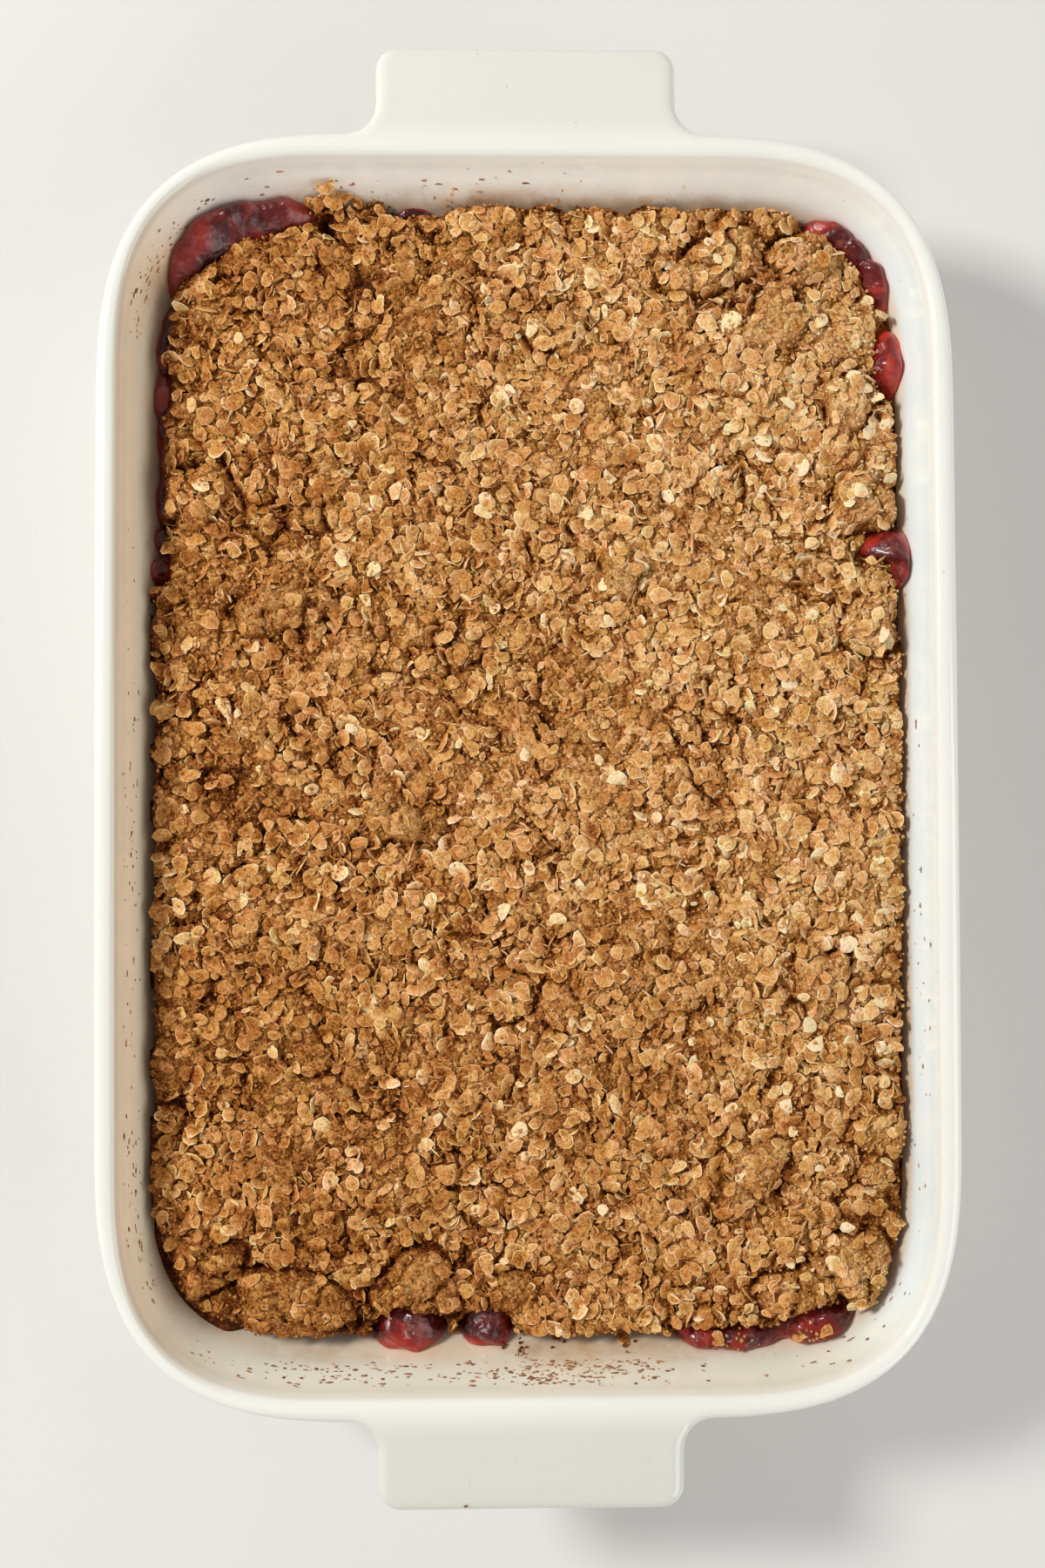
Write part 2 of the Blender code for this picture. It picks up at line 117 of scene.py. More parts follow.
# Bubbled filling at the wall: (x, y, half its length, its width, its rise), in mm
BUBBLES = [
    (-88, 166, 31, 7.0, 21.5),
    (-32, 170, 9, 2.6, 15.5),
    (-110.8, 131, 13, 3.8, 12.0),
    (-111, 113, 9, 4.8, 12.0),
    (-111, 98, 10, 3.2, 10.5),
    (-111, 82, 10, 2.8, 9.5),
    (-111, 70, 5.0, 4.2, 12.0),
    (-111, 60.5, 6.2, 5.0, 12.0),
    (93.5, 164, 13.5, 4.9, 19.0),
    (100, 157, 9, 4.1, 18.0),
    (106, 146.5, 14.5, 3.8, 17.0),
    (111.5, 122.5, 13.0, 6.6, 17.5),
    (113, 63.4, 11.5, 1.7, 21.0),
    (112, 66.5, 5, 10.0, 14.5),
    (-35, -168, 11.6, 7.4, 14.8),
    (-12.7, -168, 8.6, 7.0, 14.2),
    (62, -168, 22, 0.8, 16.5),
    (85, -161.5, 14.5, 4.0, 19.0),
]

# Largest clumps of the crust: (x, y, length, width, turn), in mm and degrees
CLUMPS = [
    (82, 152, 19, 15, 20),
    (74, 134, 19, 15, 75),
    (96, 110, 16, 15, 40),
    (100, 79, 19, 17, 5),
    (101, 43, 15, 17, 0),
    (56, 150, 28, 15, 25),
    (9, 131, 18, 13, 10),
    (-97, 82, 21, 16, 20),
    (-72, 48, 27, 13, 10),
    (-95, -143, 23, 16, 30),
    (-68, -154, 33, 19, 170),
    (-33, -149, 23, 19, 20),
    (79, -152, 23, 16, 15),
    (97, -146, 18, 24, 20),
    (62, -118, 26, 18, 30),
    (86, -62, 18, 14, 60),
    (-40, -12, 20, 14, 130),
    (28, 60, 17, 13, 80),
]


# Helpers

def lerp(a, b, share):
    """The value or point a share of the way from a to b."""
    return a + (b - a) * share


def smooth_step(low, high, values):
    """0 below low, 1 above high, and an even S between them."""
    share = np.clip((values - low) / (high - low), 0.0, 1.0)
    return share * share * (3 - 2 * share)


def away_from(x, y, spot_x, spot_y, size):
    """How far points are from a spot, as a share of a size. The spot and the size are in mm."""
    return np.hypot(x - spot_x * MM, y - spot_y * MM) / (size * MM)


def near_spot(x, y, spot_x, spot_y, spread):
    """1 at a spot, and less and less away from it. The spot and its spread are in mm."""
    return np.exp(-(away_from(x, y, spot_x, spot_y, spread) ** 2))


def add_object(name, data):
    """Adds an object to the scene."""
    added = bpy.data.objects.new(name, data)
    bpy.context.scene.collection.objects.link(added)
    return added


def make_piece(name, points, faces, material):
    """Makes a smooth mesh object, as a piece that goes with the dish."""
    mesh = bpy.data.meshes.new(name)
    mesh.from_pydata(points.tolist(), [], faces)
    mesh.materials.append(material)
    mesh.shade_smooth()
    piece = add_object(name, mesh)
    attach(piece, "root")
    return piece


def set_tone(piece, *channels, shape=None):
    """Stores up to three numbers for each point of a piece, which its material reads as a colour."""
    tone = np.ones((*(shape or [len(piece.data.vertices)]), 4), dtype=np.float32)
    for channel, values in enumerate(channels):
        tone[..., channel] = values
    layer = piece.data.color_attributes.new("tone", "FLOAT_COLOR", "POINT")
    layer.data.foreach_set("color", tone.ravel())


def make_copies(name, points, faces, material, *channels):
    """Makes one piece of the topping from many small meshes: points are (copy, point, xyz)."""
    count, size = points.shape[:2]
    faces = faces + (np.arange(count) * size)[:, None, None]
    piece = make_piece(name, points.reshape(-1, 3), faces.reshape(-1, 3).tolist(), material)
    set_tone(piece, *channels, shape=(count, size))
    return piece


def closed_skin(rings):
    """All points of rings, and the faces that join each ring to the next and close both ends."""
    count = len(rings[0])
    ring = np.arange(count)
    following = (ring + 1) % count
    faces = []
    for low in range(0, (len(rings) - 1) * count, count):
        high = low + count
        faces += np.stack([low + ring, low + following, high + following, high + ring], axis=1).tolist()
    faces.append(ring[::-1].tolist())
    faces.append((ring + (len(rings) - 1) * count).tolist())
    return np.vstack(rings), faces


# Outline of the dish, the same rules as the solid's with finer steps

def body_size(inset):
    """Half the width, half the length and the corner size of the outline at an inset from the rim."""
    half_x = RIM_WIDTH / 2 - inset
    draft = END_DRAFT * min(max(0.0, inset - LIP_WIDTH), END_DRAFT_DEPTH)
    half_y = RIM_LENGTH / 2 - inset - draft
    corner = CORNER_FLOOR + (CORNER_RIM - CORNER_FLOOR) * math.exp(-inset / CORNER_FADE)
    return half_x, half_y, corner


def corner_point(inset, angle):
    """A point of the outline's corner, from the long side at 0 to the end at a quarter turn."""
    half_x, half_y, corner = body_size(inset)
    power = 2 / CORNER_POWER
    x = half_x - corner + corner * max(0.0, math.cos(angle)) ** power
    y = half_y - corner + corner * max(0.0, math.sin(angle)) ** power
    return x, y


def angle_at_x(inset, x):
    """Where along the corner the outline comes in to x, or a quarter turn if the corner ends first."""
    half_x, _, corner = body_size(inset)
    share = max(0.0, (x - half_x + corner) / corner)
    return math.acos(min(1.0, share ** (CORNER_POWER / 2)))


def side_and_corner(inset):
    """The outline from the middle of a long side to just before the handle."""
    _, half_y, corner = body_size(inset)
    straight = half_y - corner
    points = [(corner_point(inset, 0)[0], straight * i / SIDE_STEPS) for i in range(SIDE_STEPS)]
    last = angle_at_x(inset, TAB_WIDTH / 2 + TAB_FILLET + TAB_LEAD)
    for i in range(CORNER_STEPS + 1):
        points.append(corner_point(inset, last * (i / CORNER_STEPS) ** CORNER_CROWDING))
    return points


def end_under_tab(inset):
    """The outline's end where a handle joins it, left straight, to the middle of the dish."""
    root = TAB_WIDTH / 2 + TAB_FILLET
    steps = FILLET_STEPS + TIP_STEPS + 2
    points = []
    for i in range(steps + 1):
        x = root * (1 - i / steps)
        points.append((x, corner_point(inset, angle_at_x(inset, x))[1]))
    return points


def arc(centre, radius, start, end, steps):
    """Points of an arc, with its angles in degrees."""
    angles = [math.radians(lerp(start, end, i / steps)) for i in range(steps + 1)]
    return [(centre[0] + radius * math.cos(a), centre[1] + radius * math.sin(a)) for a in angles]


def end_with_tab(inset):
    """The outline's end with the handle on it, inset all round."""
    half = TAB_WIDTH / 2 - inset
    tip = OVER_TABS / 2 - inset
    hollow = TAB_FILLET + inset
    root_x = TAB_WIDTH / 2 + TAB_FILLET
    root_y = corner_point(inset, angle_at_x(inset, root_x))[1]
    round_tip = TAB_CORNER - inset
    points = arc((root_x, root_y + hollow), hollow, 270, 180, FILLET_STEPS)
    points += arc((half - round_tip, tip - round_tip), round_tip, 0, 90, TIP_STEPS)
    points.append((0.0, tip))
    return points


def outline(inset, with_tab=False):
    """The dish's outline at an inset from the rim's outer edge, as an array of points."""
    end = end_with_tab(inset) if with_tab else end_under_tab(inset)
    quarter = side_and_corner(inset) + end
    upper = quarter + [(-x, y) for x, y in reversed(quarter[:-1])]
    loop = np.array(upper + [(-x, -y) for x, y in upper[1:-1]])
    half_y = body_size(inset)[1]
    loop[:, 0] *= 1 - SIDE_BOW / (RIM_WIDTH / 2) * (loop[:, 1] / half_y) ** 2
    return loop


def smooth_profile(points, steps):
    """A smooth curve through (inset, height) points, with steps between each two."""
    line = np.array(points)
    padded = np.vstack([2 * line[0] - line[1], line, 2 * line[-1] - line[-2]])
    curve = []
    for i in range(1, len(padded) - 2):
        a, b, c, d = padded[i - 1 : i + 3]
        bend, twist = 2 * a - 5 * b + 4 * c - d, 3 * b - a - 3 * c + d
        for k in range(steps):
            t = k / steps
            curve.append(0.5 * (2 * b + (c - a) * t + bend * t**2 + twist * t**3))
    return [tuple(point) for point in [*curve, line[-1]]]


def wall_inset(height):
    """The inner wall's inset from the rim at a height."""
    return float(np.interp(height, WALL_HEIGHTS[::-1], WALL_INSETS[::-1]))


def wall_height(distance):
    """The height of the inner wall at a distance in from where it meets the crust's level."""
    return np.interp(wall_inset(CRUST_EDGE) + distance, WALL_INSETS, WALL_HEIGHTS)


# Materials

# The shader's sockets that the materials use, by a short name
SOCKETS = {
    "color": "Base Color",
    "rough": "Roughness",
    "normal": "Normal",
    "specular": "Specular IOR Level",
    "coat": "Coat Weight",
    "coat_rough": "Coat Roughness",
    "subsurface": "Subsurface Weight",
    "radius": "Subsurface Radius",
    "depth": "Subsurface Scale",
}


class Nodes:
    """A short way to write a Principled material's nodes."""

    def __init__(self, name):
        self.material = bpy.data.materials.new(name)
        self.material.use_nodes = True
        self.tree = self.material.node_tree
        self.shader = self.tree.nodes["Principled BSDF"]
        self.place = self.add("ShaderNodeTexCoord", "Object", {})

    def put(self, socket, value):
        """Sets a socket to a number, vector or colour, or links it."""
        if isinstance(value, bpy.types.NodeSocket):
            self.tree.links.new(value, socket)
        else:
            socket.default_value = (*value, 1.0) if socket.type == "RGBA" else value

    def add(self, kind, output, inputs, **settings):
        """Adds a node with its settings and inputs, and gives one of its outputs."""
        node = self.tree.nodes.new(kind)
        for key, value in settings.items():
            setattr(node, key, value)
        for key, value in inputs.items():
            self.put(node.inputs[key], value)
        return node.outputs[output]

    def split(self, kind, source):
        """The three parts of a colour or vector."""
        node = self.tree.nodes.new(kind)
        self.put(node.inputs[0], source)
        return tuple(node.outputs)

    def tone(self):
        """The red, green and blue of the colour stored on the mesh."""
        stored = self.add("ShaderNodeAttribute", "Color", {}, attribute_name="tone")
        return self.split("ShaderNodeSeparateColor", stored)

    def position(self):
        """The place on the part, as x, y and z."""
        return self.split("ShaderNodeSeparateXYZ", self.place)

    def noise(self, scale, detail=3.0, roughness=0.55, stretch=None):
        place = self.place
        if stretch:
            place = self.add("ShaderNodeMapping", "Vector", {"Vector": place, "Scale": stretch})
        inputs = {"Vector": place, "Scale": scale, "Detail": detail, "Roughness": roughness}
        return self.add("ShaderNodeTexNoise", "Fac", inputs)

    def cells(self, scale):
        return self.add("ShaderNodeTexVoronoi", "Distance", {"Vector": self.place, "Scale": scale})

    def ramp(self, value, low, high, start=0.0, end=1.0):
        """Maps a value from low..high to start..end, smoothly."""
        inputs = {"Value": value, "From Min": low, "From Max": high, "To Min": start, "To Max": end}
        return self.add("ShaderNodeMapRange", "Result", inputs, interpolation_type="SMOOTHSTEP")

    def math(self, operation, *values):
        return self.add("ShaderNodeMath", 0, dict(enumerate(values)), operation=operation)

    def times(self, value, *others):
        """The product of two or more values."""
        for other in others:
            value = self.math("MULTIPLY", value, other)
        return value

    def mix(self, share, a, b, blend="MIX"):
        inputs = {"Factor": share, "A": a, "B": b}
        return self.add("ShaderNodeMix", "Result", inputs, data_type="RGBA", blend_type=blend)

    def bump(self, value, distance, finer=None):
        """Bumps of a height in metres, on top of finer ones."""
        inputs = {"Height": value, "Distance": distance, "Strength": 1.0}
        if finer:
            inputs["Normal"] = finer
        return self.add("ShaderNodeBump", "Normal", inputs)

    def finish(self, **sockets):
        for key, value in sockets.items():
            self.put(self.shader.inputs[SOCKETS[key]], value)
        return self.material


# Where the sides of the dish begin or end, as x or y
LEFT_SIDE = (-0.112, -0.080)
RIGHT_SIDE = (0.085, 0.105)
NEAR_SIDE = (-0.172, -0.140)
FAR_SIDE = (0.140, 0.172)
HANDLES = (0.1780, 0.1880)
HANDLE_EDGE = (-0.196, -0.191)
OUTER_LEFT = (-0.1210, -0.1130)

# Bands of the dish, as the heights between which each begins and ends
BEHIND_FOOD = (0.0300, 0.0330, 0.0430, 0.0490)
ABOVE_FOOD = (0.0440, 0.0490, 0.0590, 0.0632)
LIP_TOP = (0.0590, 0.0620)

# Tints above the food, as (how much, colour) on the left, at the near end and at the far end: tan film
# at the near end, tan film and painted warm light on the shaded left wall, painted light on the far wall
FILM_AND_PAINTED_LIGHT_TINTS = [(0.62, (0.96, 0.73, 0.44)), (0.38, (0.82, 0.77, 0.56)), (0.80, (0.955, 0.950, 0.895))]


def glaze_material():
    """Glossy off-white glaze: slight ripples, pinholes, baked-on stains and tan film, and painted light
    and shade on its walls, lips and handles.
    """
    m = Nodes("ivory_glaze")
    stain, syrup, within = m.tone()
    x, y, z = m.position()

    def band(start, full, fading, end):
        """A band of heights on the inner side."""
        return m.times(m.ramp(z, start, full), m.ramp(z, fading, end, 1.0, 0.0), within)

    left = m.ramp(x, *LEFT_SIDE, 1.0, 0.0)
    right = m.ramp(x, *RIGHT_SIDE)
    near = m.ramp(y, *NEAR_SIDE, 1.0, 0.0)
    far = m.ramp(y, *FAR_SIDE)
    above, behind = band(*ABOVE_FOOD), band(*BEHIND_FOOD)
    base = m.mix(m.ramp(m.noise(16, 4), 0.35, 0.65), (0.815, 0.815, 0.755), (0.79, 0.795, 0.735))
    # Behind the food: partly tan film, partly painted warm light on the left against the shade in the
    # gap
    base = m.mix(behind, base, m.mix(left, (0.88, 0.79, 0.62), (0.95, 0.78, 0.54)))
    # Painted light: a cooler tint on the right wall above the food, where the window lights it
    base = m.mix(m.times(above, right), base, (0.835, 0.922, 0.925))
    # Painted shade on the inner lip on the left, where it turns away from the window
    painted_left_lip_shade = m.times(m.ramp(z, *LIP_TOP), within, left, 0.75)
    base = m.mix(painted_left_lip_shade, base, (0.60, 0.50, 0.38))
    # Painted shade on the outer lip on the left, toning it down where the window lights it
    painted_outer_lip_shade = m.times(m.ramp(x, *OUTER_LEFT, 0.6, 0.0), m.math("SUBTRACT", 1.0, within))
    base = m.mix(painted_outer_lip_shade, base, (0.73, 0.73, 0.68))
    # Painted shade: the handles are darker and greyer than the rest of the glaze, the near handle more
    # so
    handles = m.ramp(m.math("ABSOLUTE", y), *HANDLES)
    base = m.mix(handles, base, m.mix(near, (0.715, 0.720, 0.655), (0.655, 0.660, 0.592)))
    # Tan film at the near end, tan film with painted warm light on the left, painted light on the far
    # wall
    for side, (amount, color) in zip((left, near, far), FILM_AND_PAINTED_LIGHT_TINTS):
        base = m.mix(m.times(above, side, amount), base, color)
    blots = m.ramp(m.noise(50, 5, 0.65), 0.34, 0.66)
    syrup = m.times(syrup, m.math("MULTIPLY_ADD", blots, 0.55, 0.40))
    base = m.mix(syrup, base, (0.76, 0.48, 0.25))
    streaks = m.ramp(m.noise(75, 6, 0.7), 0.40, 0.66)
    film = m.times(stain, m.math("MULTIPLY_ADD", streaks, 0.80, 0.12))
    base = m.mix(film, base, (0.47, 0.26, 0.10))
    scratches = m.ramp(m.noise(230, 5, 0.75, stretch=(1.0, 0.4, 1.0)), 0.60, 0.68)
    worn = m.ramp(m.noise(40, 2), 0.50, 0.62)
    marks = m.times(scratches, worn, m.ramp(y, *HANDLE_EDGE, 0.45, 0.0))
    base = m.mix(marks, base, (0.50, 0.32, 0.22))
    pinholes = m.ramp(m.cells(210), 0.05, 0.11, 1.0, 0.0)
    scattered = m.ramp(m.noise(45, 2), 0.55, 0.62)
    base = m.mix(m.times(pinholes, scattered, 0.4), base, (0.42, 0.38, 0.30))
    ripples = m.bump(m.noise(110, 2), 0.00009)
    rough = m.ramp(m.noise(60, 4), 0.3, 0.75, 0.06, 0.13)
    rough = m.math("ADD", rough, m.times(film, 0.5))
    return m.finish(color=base, rough=rough, normal=ripples, coat=0.6, coat_rough=0.04)


def clay_material():
    """Bare stoneware of the foot ring."""
    m = Nodes("bare_clay")
    grains = m.ramp(m.noise(900, 3), 0.35, 0.7)
    color = m.mix(grains, (0.60, 0.50, 0.39), (0.70, 0.61, 0.50))
    return m.finish(color=color, rough=0.85, normal=m.bump(m.noise(1400, 2), 0.0002))


def cherry_material():
    """Cooked cherries in syrup: dark where it is deep, bright red where it is thin against the dish."""
    m = Nodes("cherry_syrup")
    thin, bright, _ = m.tone()
    clots = m.ramp(m.noise(85, 4, 0.55), 0.40, 0.64, 0.0, 0.85)
    dark = m.mix(bright, (0.034, 0.002, 0.003), (0.15, 0.004, 0.005))
    ripe = m.mix(bright, (0.31, 0.024, 0.016), (0.70, 0.050, 0.022))
    rim = m.mix(bright, (0.30, 0.018, 0.012), (0.75, 0.045, 0.020))
    color = m.mix(m.ramp(thin, 0.45, 1.0), m.mix(clots, dark, ripe), rim)
    skins = m.ramp(m.noise(170, 5, 0.7, stretch=(1.0, 1.0, 2.5)), 0.50, 0.66)
    color = m.mix(m.times(skins, 0.26), color, (0.56, 0.19, 0.14))
    wrinkles = m.bump(m.noise(520, 4, 0.6), 0.0004)
    dimples = m.bump(m.noise(190, 2), 0.0014, wrinkles)
    rough = m.ramp(m.noise(300, 3), 0.35, 0.7, 0.05, 0.16)
    return m.finish(
        color=color, rough=rough, normal=dimples, specular=0.34, coat=0.27, coat_rough=0.04,
        subsurface=0.15, radius=(1.0, 0.10, 0.06), depth=0.003,
    )


# Colours of the oats as they bake, from burnt to pale
BROWNING = [
    (0.00, (0.070, 0.012, 0.001)),
    (0.20, (0.225, 0.056, 0.005)),
    (0.40, (0.460, 0.170, 0.031)),
    (0.60, (0.675, 0.331, 0.102)),
    (0.78, (0.864, 0.517, 0.225)),
    (0.92, (0.970, 0.700, 0.385)),
    (1.00, (1.000, 0.835, 0.545)),
]

# Slight shifts of hue from patch to patch and from flake to flake: (noise scale, its detail and
# roughness, where it turns, the tint below and above that)
HUES = [
    (75, 3, 0.6, (0.38, 0.62), (0.975, 0.955, 0.880), (0.990, 0.938, 0.920)),
    (210, 2, 0.5, (0.36, 0.64), (1.015, 0.980, 1.000), (0.985, 1.022, 0.920)),
]
PAINTED_RIM_HIGHLIGHT = 0.53


def oat_material(name, low, high, grainy, gloss):
    """Baked oats from dark crumb to pale flake: each flake has its own browning, painted shade in its
    hollows and a painted highlight along its rim.
    """
    m = Nodes(name)
    own, shade, rim = m.tone()
    grains = m.noise(1250, 4, 0.72)
    lumps = m.noise(430, 3, 0.6)
    patches = m.noise(120, 4, 0.65)
    tone = m.math("MULTIPLY_ADD", own, high - low, low)
    for source, start, end, least, most in (
        (shade, 0.10, 1.0, -0.29, 0.06),
        (grains, 0.34, 0.64, -0.20 * grainy, 0.20 * grainy),
        (lumps, 0.34, 0.62, -0.10 * grainy, 0.10 * grainy),
        (patches, 0.36, 0.64, -0.07, 0.07),
    ):
        tone = m.math("ADD", tone, m.ramp(source, start, end, least, most))
    # Painted highlight along each flake's rim
    tone = m.math("MULTIPLY_ADD", rim, PAINTED_RIM_HIGHLIGHT, tone)
    ramp = m.tree.nodes.new("ShaderNodeValToRGB")
    stops = ramp.color_ramp.elements
    while len(stops) < len(BROWNING):
        stops.new(0.5)
    for stop, (place, color) in zip(stops, BROWNING):
        stop.position = place
        stop.color = (*color, 1.0)
    m.put(ramp.inputs["Fac"], tone)
    color = ramp.outputs["Color"]
    for scale, detail, roughness, turn, first, second in HUES:
        hue = m.mix(m.ramp(m.noise(scale, detail, roughness), *turn), first, second)
        color = m.mix(1.0, color, hue, "MULTIPLY")
    fine = m.bump(grains, 0.0009 * grainy**2)
    coarse = m.bump(lumps, 0.0010, fine)
    rough = m.ramp(m.noise(700, 3), 0.35, 0.7, gloss, gloss + 0.28)
    return m.finish(color=color, rough=rough, normal=coarse, specular=0.16)


def speck_material():
    """Baked-on drips of sugar and juice on the wall."""
    m = Nodes("baked_specks")
    own, _, _ = m.tone()
    color = m.mix(own, (0.20, 0.060, 0.025), (0.58, 0.30, 0.14))
    return m.finish(color=color, rough=m.ramp(m.noise(600, 2), 0.3, 0.7, 0.35, 0.7))


def floor_material():
    """A plain pale surface."""
    m = Nodes("pale_floor")
    color = m.mix(m.ramp(m.noise(3, 3), 0.3, 0.7), (0.70, 0.69, 0.67), (0.72, 0.71, 0.69))
    return m.finish(color=color, rough=0.7)


# Dish

# Brown stains baked on the wall: (x, y, spread, height over the crust's edge, strength), in mm
STAINS = [
    (8, -172, 18, 7, 0.70),
    (45, -170, 24, 6, 0.60),
    (-60, -168, 30, 6, 0.45),
    (-98, -145, 22, 9, 0.50),
    (-112, -60, 60, 5, 0.35),
    (-112, 60, 60, 4, 0.30),
    (-104, 150, 18, 10, 0.65),
    (-70, 172, 26, 9, 0.60),
    (-10, 171, 36, 8, 0.85),
    (45, 171, 26, 5, 0.70),
    (114, 30, 40, 3, 0.40),
    (114, -40, 45, 3, 0.40),
    (113, -110, 40, 4, 0.40),
    (100, -155, 16, 5, 0.50),
]

# Thinner orange stains of boiled-over syrup, in the same terms
SYRUP_STAINS = [
    (14, -172, 26, 13, 0.90),
    (-30, -172, 20, 8, 0.50),
    (-104, 150, 24, 14, 0.70),
    (-60, 172, 30, 12, 0.45),
    (0, 171, 40, 9, 0.55),
    (114, 20, 40, 4, 0.80),
    (114, -70, 50, 4, 0.75),
    (108, -150, 22, 6, 0.50),
    (-112, -20, 120, 7, 0.25),
]
STAIN_FOOT = (0.039, 0.041)
# How many rings the inner side takes to come in from the lip, where the painted lip shade and the tan
# film begin
LIP_SHADE_AND_FILM_RINGS = 3


def stains_at(points, stains):
    """How stained each point of the dish is, from 0 to 1."""
    x, y, z = points.T
    amount = np.zeros(len(points))
    for spot_x, spot_y, spread, high, strength in stains:
        fade = smooth_step(*STAIN_FOOT, z) * (1 - smooth_step(CRUST_EDGE, CRUST_EDGE + high * MM, z))
        amount = np.maximum(amount, strength * near_spot(x, y, spot_x, spot_y, spread) * fade)
    return amount


def rings_along(profile, with_tab=False):
    """Level rings of the dish's points, one for each inset and height."""
    rings = []
    for inset, height in profile:
        flat = outline(inset, with_tab)
        rings.append(np.column_stack([flat, np.full(len(flat), height)]))
    return rings


def rings_between(start, end, bend):
    """Rings that lead from one to another, for the parts where a handle joins the body."""
    shares = [k / TAB_RINGS for k in range(1, TAB_RINGS)]
    return [lerp(start, end, np.array([share, share, share**bend])) for share in shares]


def make_dish():
    """The glazed dish in one mesh: foot, outer wall, lip with its two tabs, inner wall and floor."""
    foot = rings_along(FOOT)
    outer = rings_along(smooth_profile(OUTER_WALL, WALL_STEPS))
    lip = rings_along(smooth_profile(LIP_OUTSIDE, LIP_STEPS), True)
    inner = rings_along(smooth_profile(LIP_INSIDE + INNER_WALL, WALL_STEPS))
    under_tab, over_tab = rings_between(outer[-1], lip[0], 1), rings_between(lip[-1], inner[0], 2)
    rings = foot + outer + under_tab + lip + over_tab + inner
    count = len(rings[0])
    points, faces = closed_skin(rings)
    piece = make_piece("glazed_dish", points, faces, glaze_material())
    piece.data.materials.append(clay_material())
    for face in piece.data.polygons[count : 2 * count]:
        face.material_index = 1
    ring = np.repeat(np.arange(len(rings)), count)
    within = np.clip((ring - len(rings) + len(inner)) / LIP_SHADE_AND_FILM_RINGS, 0, 1)
    stain, syrup = (stains_at(points, stains) * (within > 0) for stains in (STAINS, SYRUP_STAINS))
    set_tone(piece, stain, syrup, within)
    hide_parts("baking_dish")


# Edge of the food round the wall

wall_loop = outline(wall_inset(CRUST_EDGE))


def even_spots(spacing):
    """Places along the wall's loop: (loop edge, share along it), at an even spacing."""
    following = np.roll(wall_loop, -1, axis=0)
    lengths = np.linalg.norm(following - wall_loop, axis=1)
    reach = np.concatenate([[0], np.cumsum(lengths)])
    count = int(reach[-1] / spacing)
    along = np.arange(count) * reach[-1] / count
    edge = np.searchsorted(reach, along, side="right") - 1
    return edge, (along - reach[edge]) / lengths[edge]


def wall_spots(edge, share, height, inward):
    """Points on the inner wall at the places given, each at its height and moved inward as told."""
    heights = np.broadcast_to(height, edge.shape)
    inwards = np.broadcast_to(inward, edge.shape)
    points = np.zeros((len(edge), 3))
    loops = {}
    for i, (k, part, z, set_in) in enumerate(zip(edge, share, heights, inwards)):
        key = round(wall_inset(z), 5)
        if key not in loops:
            loops[key] = outline(key)
        loop = loops[key]
        a, b = loop[k], loop[(k + 1) % len(loop)]
        along = (b - a) / np.linalg.norm(b - a)
        points[i] = (*(lerp(a, b, part) + np.array([-along[1], along[0]]) * set_in), z)
    return points


def bubbles_at(x, y):
    """How wide the bubbled filling is at places on the wall, and how far it rises there."""
    widths = np.zeros(len(x))
    rises = np.zeros(len(x))
    for spot_x, spot_y, half, wide, high in BUBBLES:
        away = away_from(x, y, spot_x, spot_y, half)
        swell = np.sqrt(np.clip(1 - away**BUBBLE_POWER, 0, 1))
        widths = np.maximum(widths, wide * MM * swell)
        rises = np.maximum(rises, high * MM * swell)
    return widths, rises


def from_shrunk_corner(x, y):
    """How far points are from the near left corner, where the crust has shrunk most: 1 is its reach."""
    return np.hypot(x - SHRUNK_CORNER[0], y - SHRUNK_CORNER[1]) / SHRUNK_REACH


def crust_gap(x, y):
    """The crust has shrunk from the wall, least at the far end and most at the near left corner."""
    gap = CRUST_GAP
    for toward, (start, end), most in (
        (-x, SIDE_GAP_RANGE, LEFT_GAP),
        (x, SIDE_GAP_RANGE, RIGHT_GAP),
        (y, END_GAP_RANGE, FAR_GAP),
        (-y, END_GAP_RANGE, NEAR_GAP),
    ):
        gap = np.maximum(gap, lerp(CRUST_GAP, most, np.clip((toward - start) / (end - start), 0, 1)))
    return gap + SHRUNK_GAP * np.clip(1 - from_shrunk_corner(x, y) ** 2, 0, 1)


# Stations are places along the wall, at the level of the crust's edge
STATION_STEP = 0.0008
station_edge, station_share = even_spots(STATION_STEP)
station_top = wall_spots(station_edge, station_share, CRUST_EDGE, 0.0)
station_x, station_y, _ = station_top.T
bubble_width, bubble_rise = bubbles_at(station_x, station_y)
food_inset = bubble_width + crust_gap(station_x, station_y)
station_along = np.roll(station_top, -1, axis=0) - np.roll(station_top, 1, axis=0)
station_along /= np.linalg.norm(station_along, axis=1, keepdims=True)
station_inward = np.column_stack([-station_along[:, 1], station_along[:, 0]])

wall_tree = kdtree.KDTree(len(station_top))
for number, spot in enumerate(station_top):
    wall_tree.insert((spot[0], spot[1], 0.0), number)
wall_tree.balance()


def wall_distance(x, y):
    """The distance in from the wall at the crust's level, and the nearest station, for each point."""
    nearest = np.array([wall_tree.find((a, b, 0.0))[1] for a, b in zip(x, y)])
    away = np.column_stack([x, y]) - station_top[nearest, :2]
    return np.einsum("ij,ij->i", away, station_inward[nearest]), nearest


# Smooth random fields

FIELD_CELLS = 64
LUMP_SIZE = (0.62, 1.0)
LUMP_REACH = 0.75


def turned(x, y, spacing, seed):
    """Coordinates in steps of a spacing, turned by the seed's own angle, and the whole steps in them."""
    angle = 0.4 + 1.9 * seed
    cos, sin = math.cos(angle), math.sin(angle)
    u, v = (x * cos - y * sin) / spacing, (x * sin + y * cos) / spacing
    return u, v, np.floor(u).astype(int), np.floor(v).astype(int)


